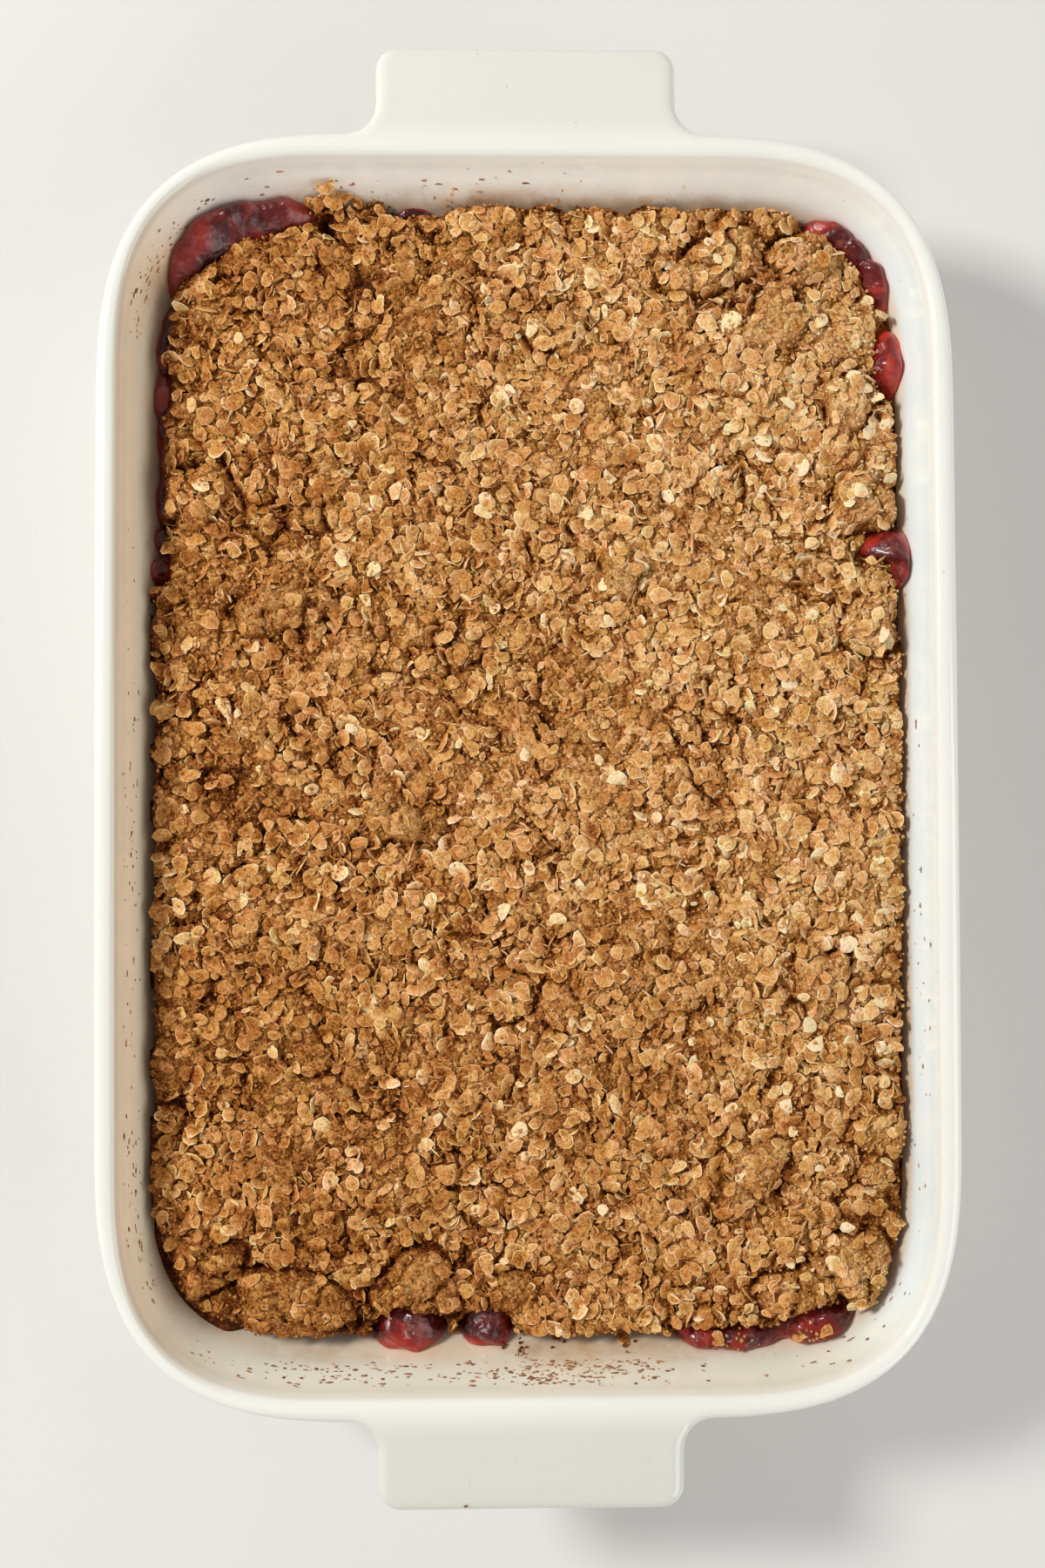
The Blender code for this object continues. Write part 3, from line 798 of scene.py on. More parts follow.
def field(x, y, spacing, seed):
    """Smooth random values from -1 to 1, with lumps about a spacing apart."""
    table = np.random.default_rng(seed).uniform(-1, 1, (FIELD_CELLS, FIELD_CELLS))
    u, v, iu, iv = turned(x, y, spacing, seed)
    fu, fv = u - iu, v - iv
    fu, fv = fu * fu * (3 - 2 * fu), fv * fv * (3 - 2 * fv)
    here, next_u, next_v = iu % FIELD_CELLS, (iu + 1) % FIELD_CELLS, (iv + 1) % FIELD_CELLS
    iv = iv % FIELD_CELLS
    near = lerp(table[here, iv], table[next_u, iv], fu)
    return lerp(near, lerp(table[here, next_v], table[next_u, next_v], fu), fv)


def layered(x, y, *layers):
    """The sum of some fields, given as (strength, spacing, seed)."""
    return sum(strength * field(x, y, spacing, seed) for strength, spacing, seed in layers)


def mounds(x, y, spacing, seed):
    """The height of packed round lumps a spacing apart, from 0 to 1, and -1 between them."""
    random = np.random.default_rng(seed)
    shift = random.uniform(0.08, 0.92, (FIELD_CELLS, FIELD_CELLS, 2))
    size = random.uniform(*LUMP_SIZE, (FIELD_CELLS, FIELD_CELLS))
    u, v, iu, iv = turned(x, y, spacing, seed)
    best = np.full(x.shape, -1.0)
    for du in (-1, 0, 1):
        for dv in (-1, 0, 1):
            cell = (iu + du) % FIELD_CELLS, (iv + dv) % FIELD_CELLS
            off_u, off_v = u - iu - du - shift[cell][..., 0], v - iv - dv - shift[cell][..., 1]
            away = np.hypot(off_u, off_v) / (LUMP_REACH * size[cell])
            best = np.maximum(best, size[cell] * np.sqrt(np.clip(1 - away**2, 0, 1)))
    return best


def blocks(x, y, spacing, seed):
    """Uneven polygons a spacing apart: how far each point is from its polygon's border, five random
    numbers of the polygon, and how far the point is from its middle along and across."""
    random = np.random.default_rng(seed)
    shift = random.uniform(0.05, 0.95, (FIELD_CELLS, FIELD_CELLS, 2))
    own = random.uniform(0, 1, (FIELD_CELLS, FIELD_CELLS, 5))
    u, v, iu, iv = turned(x, y, spacing, seed)
    first = np.full(x.shape, 9.0)
    second = np.full(x.shape, 9.0)
    numbers = np.zeros(x.shape + (7,))
    for du in (-2, -1, 0, 1, 2):
        for dv in (-2, -1, 0, 1, 2):
            cell = (iu + du) % FIELD_CELLS, (iv + dv) % FIELD_CELLS
            off_u, off_v = u - iu - du - shift[cell][..., 0], v - iv - dv - shift[cell][..., 1]
            away = np.hypot(off_u, off_v)
            nearer = away < first
            second = np.where(nearer, first, np.minimum(second, away))
            first = np.where(nearer, away, first)
            these = np.concatenate([own[cell], off_u[..., None], off_v[..., None]], axis=-1)
            numbers = np.where(nearer[..., None], these, numbers)
    return (second - first) * spacing * 0.5, numbers


# Crust: its relief, and how it has baked

CLUMP_RISE = 0.0038
CLUMP_POWER = 2.6
CLUMP_PALER = 0.50
MOAT_PLACE = (1.12, 0.10)
MOAT_DEPTH = 0.0034
MIDDLE_MOATS = 0.22
OUTER_MOATS = 0.85
BLOCK_SPACING = 0.0120
BLOCK_STEP = 0.00055
BLOCK_TILT = 0.085
BLOCK_ROUND = 0.0024
BLOCK_SAG = 0.0009
CRACK_DEPTH = 0.0020
CRACK_WIDTH = 0.0006
CRACKED_SHARE = 0.34

# Packed lumps: (spacing, seed, rise, level that counts as the mean)
PEBBLES = (0.0052, 5, 0.0008, 0.6)
GRAINS = (0.0027, 6, 0.0006, 0.55)

# Fields, as (strength, spacing, seed)
SWELLS = (0.0007, 0.050, 1)
WAVY_X = (0.0022, 0.009, 2), (0.0008, 0.003, 9)
WAVY_Y = (0.0022, 0.009, 3), (0.0008, 0.003, 10)
GRIT = (0.0004, 0.0013, 7)
EDGE_WANDER = (0.0013, 0.006, 8)
CORE_PATCHES = (0.3, 0.006, 11)
COATED_PATCHES = (0.5, 0.024, 13)
BROWN_PATCHES = (0.22, 0.060, 14), (0.20, 0.026, 15), (0.18, 0.012, 16)

# Dark hollows in the crust: (x, y, size, depth), in mm
HOLLOWS = [
    (-58, 161.5, 3.4, 6.0),
    (99, 63.5, 3.0, 3.5),
    (43, -163, 3.0, 4.0),
]


def clump_relief(x, y):
    """The big clumps: rough blocks that stand up, with a deep crack round part of each."""
    raised = np.zeros(x.shape)
    crack = np.zeros(x.shape)
    for number, (cx, cy, length, width, turn) in enumerate(CLUMPS):
        dx, dy = x - cx * MM, y - cy * MM
        cos, sin = math.cos(math.radians(turn)), math.sin(math.radians(turn))
        u = (dx * cos + dy * sin) / (length * HALF_MM)
        v = (-dx * sin + dy * cos) / (width * HALF_MM)
        angle = np.arctan2(v, u)
        wobble = 1 + 0.12 * np.sin(3 * angle + number) + 0.08 * np.sin(5 * angle + 2.3 * number)
        away = (np.abs(u) ** CLUMP_POWER + np.abs(v) ** CLUMP_POWER) ** (1 / CLUMP_POWER) / wobble
        raised = np.maximum(raised, CLUMP_RISE * np.sqrt(np.clip(1 - away**3.5, 0, 1)))
        around = np.exp(-(((away - MOAT_PLACE[0]) / MOAT_PLACE[1]) ** 2))
        around = around * (0.35 + 0.65 * (np.sin(angle * 1.5 + number) > -0.2))
        crack = np.maximum(crack, around)
    outward = np.maximum(np.abs(x) / (RIM_WIDTH / 2), np.abs(y) / (RIM_LENGTH / 2))
    crack = crack * lerp(MIDDLE_MOATS, OUTER_MOATS, smooth_step(0.50, 0.75, outward))
    return raised, crack * (raised <= 0) * MOAT_DEPTH


def hollow_depth(x, y):
    """How far the crust falls away in its hollows."""
    depth = np.zeros(x.shape)
    for cx, cy, size, deep in HOLLOWS:
        depth = np.maximum(depth, deep * MM * np.clip(1 - away_from(x, y, cx, cy, size) ** 4, 0, 1))
    return depth


def crust_blocks(x, y):
    """The polygons that the crust has broken into, with wavy borders."""
    return blocks(x + layered(x, y, *WAVY_X), y + layered(x, y, *WAVY_Y), BLOCK_SPACING, 4)


def in_crack(x, y):
    """Whether points lie over a crack, where few flakes hold on."""
    border, own = crust_blocks(x, y)
    _, moat = clump_relief(x, y)
    cracked = (own[..., 4] < CRACKED_SHARE) & (border < 1.3 * CRACK_WIDTH)
    return cracked | (moat > 0.4 * MOAT_DEPTH) | (hollow_depth(x, y) > 0.0015)


def crust_relief(x, y, fine=True):
    """The crust's height away from its edge."""
    height = CRUST_LEVEL + layered(x, y, SWELLS)
    border, own = crust_blocks(x, y)
    step, lean_u, lean_v, sag, cracked, off_u, off_v = np.moveaxis(own, -1, 0)
    height = height + BLOCK_STEP * (2 * step - 1)
    tilt = (lean_u - 0.5) * off_u + (lean_v - 0.5) * off_v
    height = height + 2 * BLOCK_TILT * BLOCK_SPACING * tilt
    height = height - BLOCK_SAG * sag * (1 - np.clip(border / BLOCK_ROUND, 0, 1)) ** 2
    height = height - CRACK_DEPTH * (cracked < CRACKED_SHARE) * np.exp(-((border / CRACK_WIDTH) ** 2))
    raised, crack = clump_relief(x, y)
    for spacing, seed, rise, mean in (PEBBLES, GRAINS) if fine else (PEBBLES,):
        height = height + rise * (mounds(x, y, spacing, seed) - mean)
    if fine:
        height = height + layered(x, y, GRIT)
    return height + raised - crack - hollow_depth(x, y)


COATED_RANGE = (0.50, 0.82)
COATED_LESS = 0.13
HALF_CRUST = 0.11


def coating(x, y):
    """How much the sugar crust covers the flakes: 1 on rough lumps, 0 where flakes lie bare."""
    _, own = crust_blocks(x, y)
    raised, _ = clump_relief(x, y)
    share = 0.50 * own[..., 0] + 0.50 * (0.5 + layered(x, y, COATED_PATCHES)) + 0.18 * (raised > 0)
    return smooth_step(*COATED_RANGE, share - COATED_LESS * np.clip(x / HALF_CRUST, -1, 1))


# Places where the crust has baked browner: (x, y, spread, how much), in mm
BROWNER = [
    (35, -108, 42, 0.74),
    (-47, 149, 24, 1.00),
    (35, 125, 45, 0.16),
    (-45, 95, 40, 0.14),
]


def browning(x, y):
    """How pale the crust's colour is: darker towards the left and the near end, and baked browner in
    patches.
    """
    along = y / (RIM_LENGTH / 2)
    trend = 1.18 * x / (RIM_WIDTH / 2) + 0.45 * along - 0.35 * np.abs(along) ** 3
    patches = layered(x, y, *BROWN_PATCHES)
    for cx, cy, spread, amount in BROWNER:
        patches = patches - amount * near_spot(x, y, cx, cy, spread)
    return np.clip(trend + patches - 0.13, -1.5, 1.3)


BURNT_EDGE = 0.0060
LEVEL_SHADE = 0.70
SHADE_DEPTH = 0.0045


def edge_burn(inside):
    """How much darker the crust is at its edge, where juice has caught: 1 there and 0 further in."""
    return np.clip(1 - inside / BURNT_EDGE, 0, 1)


def cavity(points):
    """How high points stand over the crust's mean height: a shade from 0 in the hollows to 1 on top."""
    x, y, z = points[..., 0], points[..., 1], points[..., 2]
    raised, _ = clump_relief(x, y)
    base = CRUST_LEVEL + layered(x, y, SWELLS) + 0.75 * raised
    return np.clip(LEVEL_SHADE + (z - base) / SHADE_DEPTH, 0, 1)


GAP_FLOOR = 0.0318
CORNER_LEDGE = 0.0418
LEFT_GAP_FLOOR = 0.0340
RIGHT_GAP_FLOOR = 0.0405
UNDER_GLAZE = 0.0004
SHOULDER = 0.0014
LEFT_SHOULDER = 0.0045
EDGE_DROP = 0.0035
LEFT_EDGE_DROP = 0.0062


def crust_surface(x, y, fine=True):
    """The crust's top with its shoulder, and how far in from its edge each point is."""
    distance, nearest = wall_distance(x, y)
    inside = distance - food_inset[nearest] - layered(x, y, EDGE_WANDER)
    top = crust_relief(x, y, fine)
    left, right = smooth_step(*SIDE_GAP_RANGE, -x), smooth_step(*SIDE_GAP_RANGE, x)
    shoulder = lerp(SHOULDER, LEFT_SHOULDER, left)
    round_over = np.sqrt(np.clip(1 - (1 - np.clip(inside / shoulder, 0, 1)) ** 2, 0, 1))
    edge = CRUST_EDGE - lerp(EDGE_DROP, LEFT_EDGE_DROP, left) * (1 - round_over)
    floor = GAP_FLOOR + (LEFT_GAP_FLOOR - GAP_FLOOR) * left + (RIGHT_GAP_FLOOR - GAP_FLOOR) * right
    floor = lerp(CORNER_LEDGE, floor, smooth_step(0.7, 1.2, from_shrunk_corner(x, y)))
    beside = np.maximum(wall_height(distance) - UNDER_GLAZE, floor)
    return np.where(inside > 0, lerp(edge, top, round_over), beside), inside


# Crust core: the sugary crumb that holds the flakes

CORE_COLUMNS = 212
CORE_ROWS = 322
ROW_ARC = 0.94
ROW_CROWDING = 0.25
WITHIN_WALL = 0.9995
FOOT_INWARD = 0.985


def make_core():
    """The crust without its loose pieces: a closed body with a lumpy top."""
    half_y = wall_loop[:, 1].max() - CRUST_GAP
    right = wall_loop[wall_loop[:, 0] > 0]
    right = right[np.argsort(right[:, 1])]
    rows = np.sin(np.linspace(-math.pi / 2, math.pi / 2, CORE_ROWS) * ROW_ARC)
    rows = rows / math.sin(ROW_ARC / 2 * math.pi)
    rows = lerp(np.linspace(-1, 1, CORE_ROWS), rows, ROW_CROWDING) * half_y * WITHIN_WALL
    half_x = np.interp(rows, right[:, 1], right[:, 0]) - CRUST_GAP
    x = (half_x[:, None] * np.linspace(-1, 1, CORE_COLUMNS)[None, :]).ravel()
    y = np.repeat(rows, CORE_COLUMNS)
    z, inside = crust_surface(x, y)
    top = np.column_stack([x, y, z])
    index = np.arange(CORE_ROWS * CORE_COLUMNS).reshape(CORE_ROWS, CORE_COLUMNS)
    quads = np.stack([index[:-1, :-1], index[:-1, 1:], index[1:, 1:], index[1:, :-1]], axis=-1)
    border = np.concatenate([index[0, :-1], index[:-1, -1], index[-1, :0:-1], index[:0:-1, 0]])
    foot = top[border].copy()
    foot[:, :2] *= FOOT_INWARD
    foot[:, 2] = CRUST_FOOT
    low = len(top) + np.arange(len(border))
    sides = np.stack([np.roll(border, -1), border, low, np.roll(low, -1)], axis=1)
    faces = quads.reshape(-1, 4).tolist() + sides.tolist() + [low[::-1].tolist()]
    points = np.vstack([top, foot])
    piece = make_piece("crust_core", points, faces, oat_material("sugar_crust", 0.40, 0.56, 1.0, 0.34))
    x, y = points[:, 0], points[:, 1]
    raised, _ = clump_relief(x, y)
    burnt = edge_burn(np.append(inside, np.zeros(len(foot))))
    own = 0.5 + layered(x, y, CORE_PATCHES) + 0.6 * browning(x, y) - 0.5 * burnt
    set_tone(piece, own + CLUMP_PALER * raised / CLUMP_RISE, 0.9 * cavity(points), 0.0)
    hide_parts("oat_topping")


# Flakes

FLAKE_SIDES = 10
FLAKE_KINDS = 60

# Rings of a flake's top: (share of its radius, level as a share of its thickness, how much it is rim)
FLAKE_RINGS = [(0.0, 0.45, 0.0), (0.84, 1.0, 0.15), (1.0, 0.45, 1.0)]


def flake_shape(random):
    """One rolled oat, 1 across: an uneven oval, cupped and crinkled. Its last column is 1 at the rim."""
    angle = 2 * math.pi * np.arange(FLAKE_SIDES) / FLAKE_SIDES
    angle = angle + random.uniform(-0.12, 0.12, FLAKE_SIDES)
    radius = 0.5 * (1 + 0.09 * np.sin(2 * angle + random.uniform(0, 6)))
    bumpy = 1 + 0.08 * np.sin(3 * angle + random.uniform(0, 6))
    radius *= bumpy + random.uniform(-0.12, 0.12, FLAKE_SIDES)
    for _ in range(random.integers(0, 3)):
        broken = random.uniform(0, 2 * math.pi)
        facing = np.cos(angle - broken)
        cut = random.uniform(0.16, 0.46) / np.maximum(facing, 0.2)
        radius = np.where(facing > 0.2, np.minimum(radius, cut), radius)
    wide = random.uniform(0.60, 0.94)
    cup = random.uniform(-0.28, 0.34)
    fold = random.uniform(-0.35, 0.35)
    twist = random.uniform(-0.4, 0.4)
    thick = random.uniform(0.060, 0.090)
    points = []
    for reach, level, edge in FLAKE_RINGS:
        size = FLAKE_SIDES if reach else 1
        x = reach * radius[:size] * np.cos(angle[:size])
        y = reach * radius[:size] * np.sin(angle[:size]) * wide
        crinkle = random.uniform(-0.022, 0.022, size) * (reach > 0)
        z = level * thick + cup * (x**2 + y**2) + fold * np.abs(y) * 0.35 + twist * x * y + crinkle
        points.append(np.column_stack([x, y, z, np.full(size, edge)]))
    points.append(np.array([[0.0, 0.0, -0.6 * thick, 0.0]]))
    return np.vstack(points)


def flake_faces():
    """Triangles of one flake: a fan, a ring for the rim and a fan underneath."""
    n = FLAKE_SIDES
    rim = 1 + n
    faces = []
    for i in range(n):
        j = (i + 1) % n
        faces.append((0, 1 + i, 1 + j))
        faces += [(1 + i, rim + i, rim + j), (1 + i, rim + j, 1 + j)]
        faces.append((rim + i, rim + n, rim + j))
    return np.array(faces)


def turns(random, tilt, normal):
    """Turning matrices: a spin, then a tilt in a random direction, then up along the normal."""
    spin = random.uniform(0, 2 * math.pi, len(tilt))
    lean = random.uniform(0, 2 * math.pi, len(tilt))
    result = np.zeros((len(tilt), 3, 3))
    for i, angle in enumerate(tilt):
        up = Vector(normal[i]).to_track_quat("Z", "Y").to_matrix()
        axis = Vector((math.cos(lean[i]), math.sin(lean[i]), 0))
        result[i] = np.array(up @ Matrix.Rotation(angle, 3, axis) @ Matrix.Rotation(spin[i], 3, "Z"))
    return result


def placed(shapes, turn, places, flat=1.0):
    """Copies of shapes, each turned, pressed as flat as told and moved to its place."""
    points = np.einsum("nij,nkj->nki", turn, shapes)
    points[:, :, 2] *= flat
    return points + places[:, None, :]


def jittered(spacing, random):
    """Places spread over the crust, about a spacing apart."""
    columns = np.arange(-RIM_WIDTH / 2, RIM_WIDTH / 2, spacing)
    rows = np.arange(-RIM_LENGTH / 2, RIM_LENGTH / 2, spacing)
    x, y = (grid.ravel() for grid in np.meshgrid(columns, rows))
    x = x + random.uniform(-0.55, 0.55, len(x)) * spacing
    y = y + random.uniform(-0.55, 0.55, len(y)) * spacing
    order = random.permutation(len(x))
    return x[order], y[order]


SLOPE_STEP = 0.0012
STEEPEST = 1.1


def slopes(x, y):
    """The crust's upward directions at points, softened so that flakes don't stand on end at cracks."""
    middle, _ = crust_surface(x, y, False)
    right, _ = crust_surface(x + SLOPE_STEP, y, False)
    far, _ = crust_surface(x, y + SLOPE_STEP, False)
    steep = np.column_stack([middle - right, middle - far, np.full(len(x), SLOPE_STEP)])
    steep[:, :2] = np.clip(steep[:, :2], -STEEPEST * SLOPE_STEP, STEEPEST * SLOPE_STEP)
    return steep / np.linalg.norm(steep, axis=1, keepdims=True)


WALL_LEAN = 0.30
KEEP_CLEAR = 0.0003


def clear_of_wall(points, chosen):
    """Moves the chosen copies in, where they would touch the wall: points are (copy, point, xyz)."""
    x, y, z = points[chosen].reshape(-1, 3).T
    distance, nearest = wall_distance(x, y)
    clear = (distance + (z - CRUST_EDGE) * WALL_LEAN - KEEP_CLEAR).reshape(len(chosen), -1)
    worst = np.arange(len(chosen)), clear.argmin(axis=1)
    inward = station_inward[nearest.reshape(clear.shape)[worst]]
    points[chosen, :, :2] += (-np.minimum(clear[worst], 0)[:, None] * inward)[:, None, :]


# Loose pieces beside the crust: (x, y, height of the heap, spread, flakes, crumbs), in mm
LOOSE = [
    (-57, 168.0, 4.2, 7.5, 20, 44),
    (-49, 168.6, 0.0, 1.0, 1, 2),
    (-43, 168.6, 0.5, 5.0, 1, 10),
    (-22, 169.2, 0.0, 7.0, 0, 8),
    (12, 169.0, 0.0, 8.0, 0, 10),
    (36, 168.8, 0.0, 8.0, 0, 8),
    (105, 135, 1.5, 2.2, 3, 8),
    (58, -165.0, 0.8, 7.0, 2, 16),
    (81, -163.0, 0.8, 6.0, 2, 16),
    (97, -154.0, 1.0, 2.4, 3, 6),
    (8.7, -166.5, 0.3, 3.5, 2, 9),
    (29, -166.8, 0.3, 4.0, 2, 9),
    (-2, -168.0, 0.0, 7.0, 0, 14),
    (-70, -163.0, 0.0, 9.0, 0, 8),
]
FLAKE_COLUMN = 0
CRUMB_COLUMN = 1


def resting_height(x, y):
    """How high the crust, the filling or the wall is, for what has fallen beside the crust."""
    distance, nearest = wall_distance(x, y)
    share = np.clip(distance / (food_inset[nearest] + FILLING_OVERLAP), 0, 1)
    filling = FILLING_LEVEL + bubble_section(share) * bubble_rise[nearest]
    surface, inside = crust_surface(x, y, False)
    return np.where(inside > 0, surface, np.maximum(filling, wall_height(distance)))


def bubble_section(share):
    """The height of a bubble's section at a share of its width, from the wall to the crust."""
    return np.sqrt(1 - ((share - BUBBLE_CREST) / BUBBLE_REACH) ** 2)


def loose_spots(random, column):
    """Places of the loose pieces, with how many of them the column of the table tells."""
    spots = []
    for x, y, heap, spread, *numbers in LOOSE:
        for _ in range(numbers[column]):
            side, end = random.normal(0, 0.5), random.normal(0, 0.25)
            spots.append((x + side * spread, y + end * spread, heap * random.random()))
    x, y, lift = np.array(spots).T * MM
    return x, y, resting_height(x, y) + lift


def with_loose(keep, held, loose):
    """The kept values of the pieces on the crust, followed by those of the loose pieces."""
    return [np.append(a[keep], np.broadcast_to(b, loose[0].shape)) for a, b in zip(held, loose)]


FLAKE_SPACING = 0.00222
FLAKE_SIZE = (0.0022, 0.0076)
LOOSE_FLAKE_SIZE = (0.0034, 0.0060)
LOOSE_BURNT = 0.1
FLAKES_IN_CRACKS = 0.40
COATED_FEWER = 0.30
CLUMPS_FEWER = 0.40
ON_CLUMP = 0.0012
OVER_EDGE = 0.34
STEEP_SHARE = 0.24
STEEP_TILT = (35, 85)
FLAT_TILT = (2, 22)
SOFT_TOP = 0.0546
FLAKE_VARIETY = 0.56
FLAKE_VARIETY_RIGHT = 0.34


def place_flakes(random):
    """Places all flakes: the points of each, and its browning, shade and rim for the material."""
    x, y = jittered(FLAKE_SPACING, random)
    height, inside = crust_surface(x, y)
    coated = coating(x, y)
    raised, _ = clump_relief(x, y)
    held = 1 - COATED_FEWER * coated - CLUMPS_FEWER * (raised > ON_CLUMP)
    held = np.where(in_crack(x, y), FLAKES_IN_CRACKS, held)
    size = lerp(*FLAKE_SIZE, random.beta(1.7, 2.9, len(x)))
    keep = (inside > OVER_EDGE * size) & (random.random(len(x)) < held)
    spots = loose_spots(random, FLAKE_COLUMN)
    loose_size = random.uniform(*LOOSE_FLAKE_SIZE, len(spots[0]))
    on_crust = (x, y, height, inside, coated, edge_burn(inside), size)
    x, y, height, inside, coated, burnt, size = with_loose(
        keep, on_crust, (*spots, 0.0, 0.0, LOOSE_BURNT, loose_size)
    )
    count = len(x)
    steep = random.random(count) < STEEP_SHARE
    tilt = np.where(steep, random.uniform(*STEEP_TILT, count), random.uniform(*FLAT_TILT, count))
    tilt = np.radians(tilt)
    turn = turns(random, tilt, slopes(x, y))
    bedded = np.where(steep, random.uniform(-0.20, 0.10, count), random.uniform(0.05, 0.30, count))
    lift = 0.0001 + size * np.sin(tilt) * bedded
    lift = lift + random.uniform(-0.0002, 0.0007, count) - 0.0005 * coated
    shapes = np.array([flake_shape(random) for _ in range(FLAKE_KINDS)])
    shape = shapes[random.integers(0, FLAKE_KINDS, count)]
    points = placed(shape[:, :, :3] * size[:, None, None], turn, np.column_stack([x, y, height + lift]))
    clear_of_wall(points, np.flatnonzero(inside < 0.006))
    points[:, :, 2] -= np.maximum(0, points[:, :, 2].max(axis=1) - SOFT_TOP)[:, None]
    varied = FLAKE_VARIETY + FLAKE_VARIETY_RIGHT * np.clip(x / HALF_CRUST, -1, 1)
    own = 0.5 + varied * (random.random(count) - 0.5)
    own = own + 0.6 * browning(x, y) - 0.45 * burnt
    rim = shape[:, :, 3] * (random.uniform(0.2, 1.0, count) * (1 - 0.5 * coated))[:, None]
    return points, own[:, None], cavity(points), rim


# Sorts of flakes: (name, share of all, browning from and to)
FLAKE_SORTS = [
    ("flakes_golden", 0.40, 0.50, 0.67),
    ("flakes_caramel", 0.40, 0.42, 0.56),
    ("flakes_toasted", 0.13, 0.32, 0.46),
    ("flakes_pale", 0.07, 0.74, 0.98),
]


def make_flakes():
    """The oat flakes, one piece for each sort."""
    random = np.random.default_rng(SEED + 1)
    flakes = place_flakes(random)
    faces = flake_faces()
    draw = random.random(len(flakes[0]))
    low = 0.0
    for name, share, pale_from, pale_to in FLAKE_SORTS:
        chosen = (draw >= low) & (draw < low + share)
        low += share
        points, *channels = (values[chosen] for values in flakes)
        material = oat_material(name, pale_from, pale_to, 0.64, 0.24)
        piece = make_copies(name, points, faces, material, *channels)
        piece.data.set_sharp_from_angle(angle=math.radians(50))


# Crumbs

CRUMB_SPACING = 0.00176
CRUMB_SIZE = (0.0006, 0.0019)
CRUMB_KINDS = 16
CRUMB_UNEVEN = (0.75, 1.35)
CRUMB_LIFT = (0.0001, 0.0013)
CRUMB_FLATNESS = 0.8
EDGE_CRUMBS = 9000
EDGE_CRUMB_SIZE = (0.0007, 0.0021)
LEAST_OPEN = 0.0026


def grain():
    """An eight-sided grain 1 across, as points and triangles."""
    points = 0.5 * np.array([(1, 0, 0), (-1, 0, 0), (0, 1, 0), (0, -1, 0), (0, 0, 1), (0, 0, -1)])
    upper = [(0, 2, 4), (2, 1, 4), (1, 3, 4), (3, 0, 4)]
    return points, np.array(upper + [(b, a, 5) for a, b, _ in upper])


def round_lump():
    """A rounder lump 1 across, as points and triangles."""
    shape = bmesh.new()
    bmesh.ops.create_icosphere(shape, subdivisions=1, radius=0.5)
    points = np.array([vertex.co for vertex in shape.verts])
    faces = np.array([[vertex.index for vertex in face.verts] for face in shape.faces])
    shape.free()
    return points, faces


def tumbled(random, count):
    """Turning matrices that lay crumbs any way up."""
    return turns(random, random.uniform(0, math.pi, count), np.tile([0.0, 0.0, 1.0], (count, 1)))


def make_crumbs():
    """Small sugary crumbs between and on the flakes."""
    random = np.random.default_rng(SEED + 2)
    x, y = jittered(CRUMB_SPACING, random)
    height, inside = crust_surface(x, y)
    spots = loose_spots(random, CRUMB_COLUMN)
    x, y, height, inside = with_loose(inside > 0.0004, (x, y, height, inside), (*spots, 0.0))
    count = len(x)
    ball, faces = grain()
    shapes = np.array([ball * random.uniform(*CRUMB_UNEVEN, (len(ball), 1)) for _ in range(CRUMB_KINDS)])
    size = lerp(*CRUMB_SIZE, random.beta(1.6, 3.0, count))
    turn = tumbled(random, count)
    shape = shapes[random.integers(0, CRUMB_KINDS, count)] * size[:, None, None]
    places = np.column_stack([x, y, height + random.uniform(*CRUMB_LIFT, count)])
    points = placed(shape, turn, places, CRUMB_FLATNESS)
    clear_of_wall(points, np.flatnonzero(inside < 0.004))
    own = 0.15 + 0.7 * random.random(count) + 0.6 * browning(x, y)
    material = oat_material("sugar_crumbs", 0.42, 0.68, 0.8, 0.30)
    make_copies("sugar_crumbs", points, faces, material, own[:, None], cavity(points), 0.0)


def make_edge_crumbs():
    """Crumbs on the crust's side, where it stands clear of the wall."""
    random = np.random.default_rng(SEED + 4)
    chosen = random.integers(0, len(station_top), EDGE_CRUMBS)
    chosen = chosen[(food_inset[chosen] > LEAST_OPEN) & (bubble_rise[chosen] < 0.001)]
    inward = food_inset[chosen]
    for _ in range(3):
        spots = station_top[chosen, :2] + station_inward[chosen, :2] * inward[:, None]
        _, inside = crust_surface(spots[:, 0], spots[:, 1], False)
        inward = inward - inside
    x, y = spots.T
    count = len(x)
    distance, _ = wall_distance(x, y)
    foot = np.maximum(wall_height(distance), GAP_FLOOR)
    height = lerp(foot, CRUST_EDGE - 0.4 * EDGE_DROP, random.random(count))
    ball, faces = grain()
    size = random.uniform(*EDGE_CRUMB_SIZE, count)
    shapes = ball * random.uniform(*CRUMB_UNEVEN, (count, len(ball), 1)) * size[:, None, None]
    points = placed(shapes, tumbled(random, count), np.column_stack([x, y, height]))
    clear_of_wall(points, np.arange(count))
    own = 0.1 + 0.7 * random.random(count) + 0.5 * browning(x, y)
    shade = 0.25 + 0.55 * (height - foot) / (CRUST_EDGE - foot)
    material = oat_material("edge_crumbs", 0.40, 0.62, 0.8, 0.30)
    make_copies("edge_crumbs", points, faces, material, own[:, None], shade[:, None], 0.0)


# Filling

SECTION_STEPS = 20
FULL_SWELL = 0.008
LEAST_RISE = 0.0004

# Fields, as (strength, spacing, seed)
CHERRIES = (0.65, 0.011, 31), (0.35, 0.0044, 33)
CHERRY_SWELL = 0.0025
RIPPLES = (0.0009, 0.0042, 32), (0.00022, 0.0021, 34)

# Where the filling is thin and bright: (x, y, spread, how much), in mm
BRIGHT_SPOTS = [(112, 112, 50, 1.0), (-24, -170, 30, 0.28), (80, -165, 30, 0.25)]


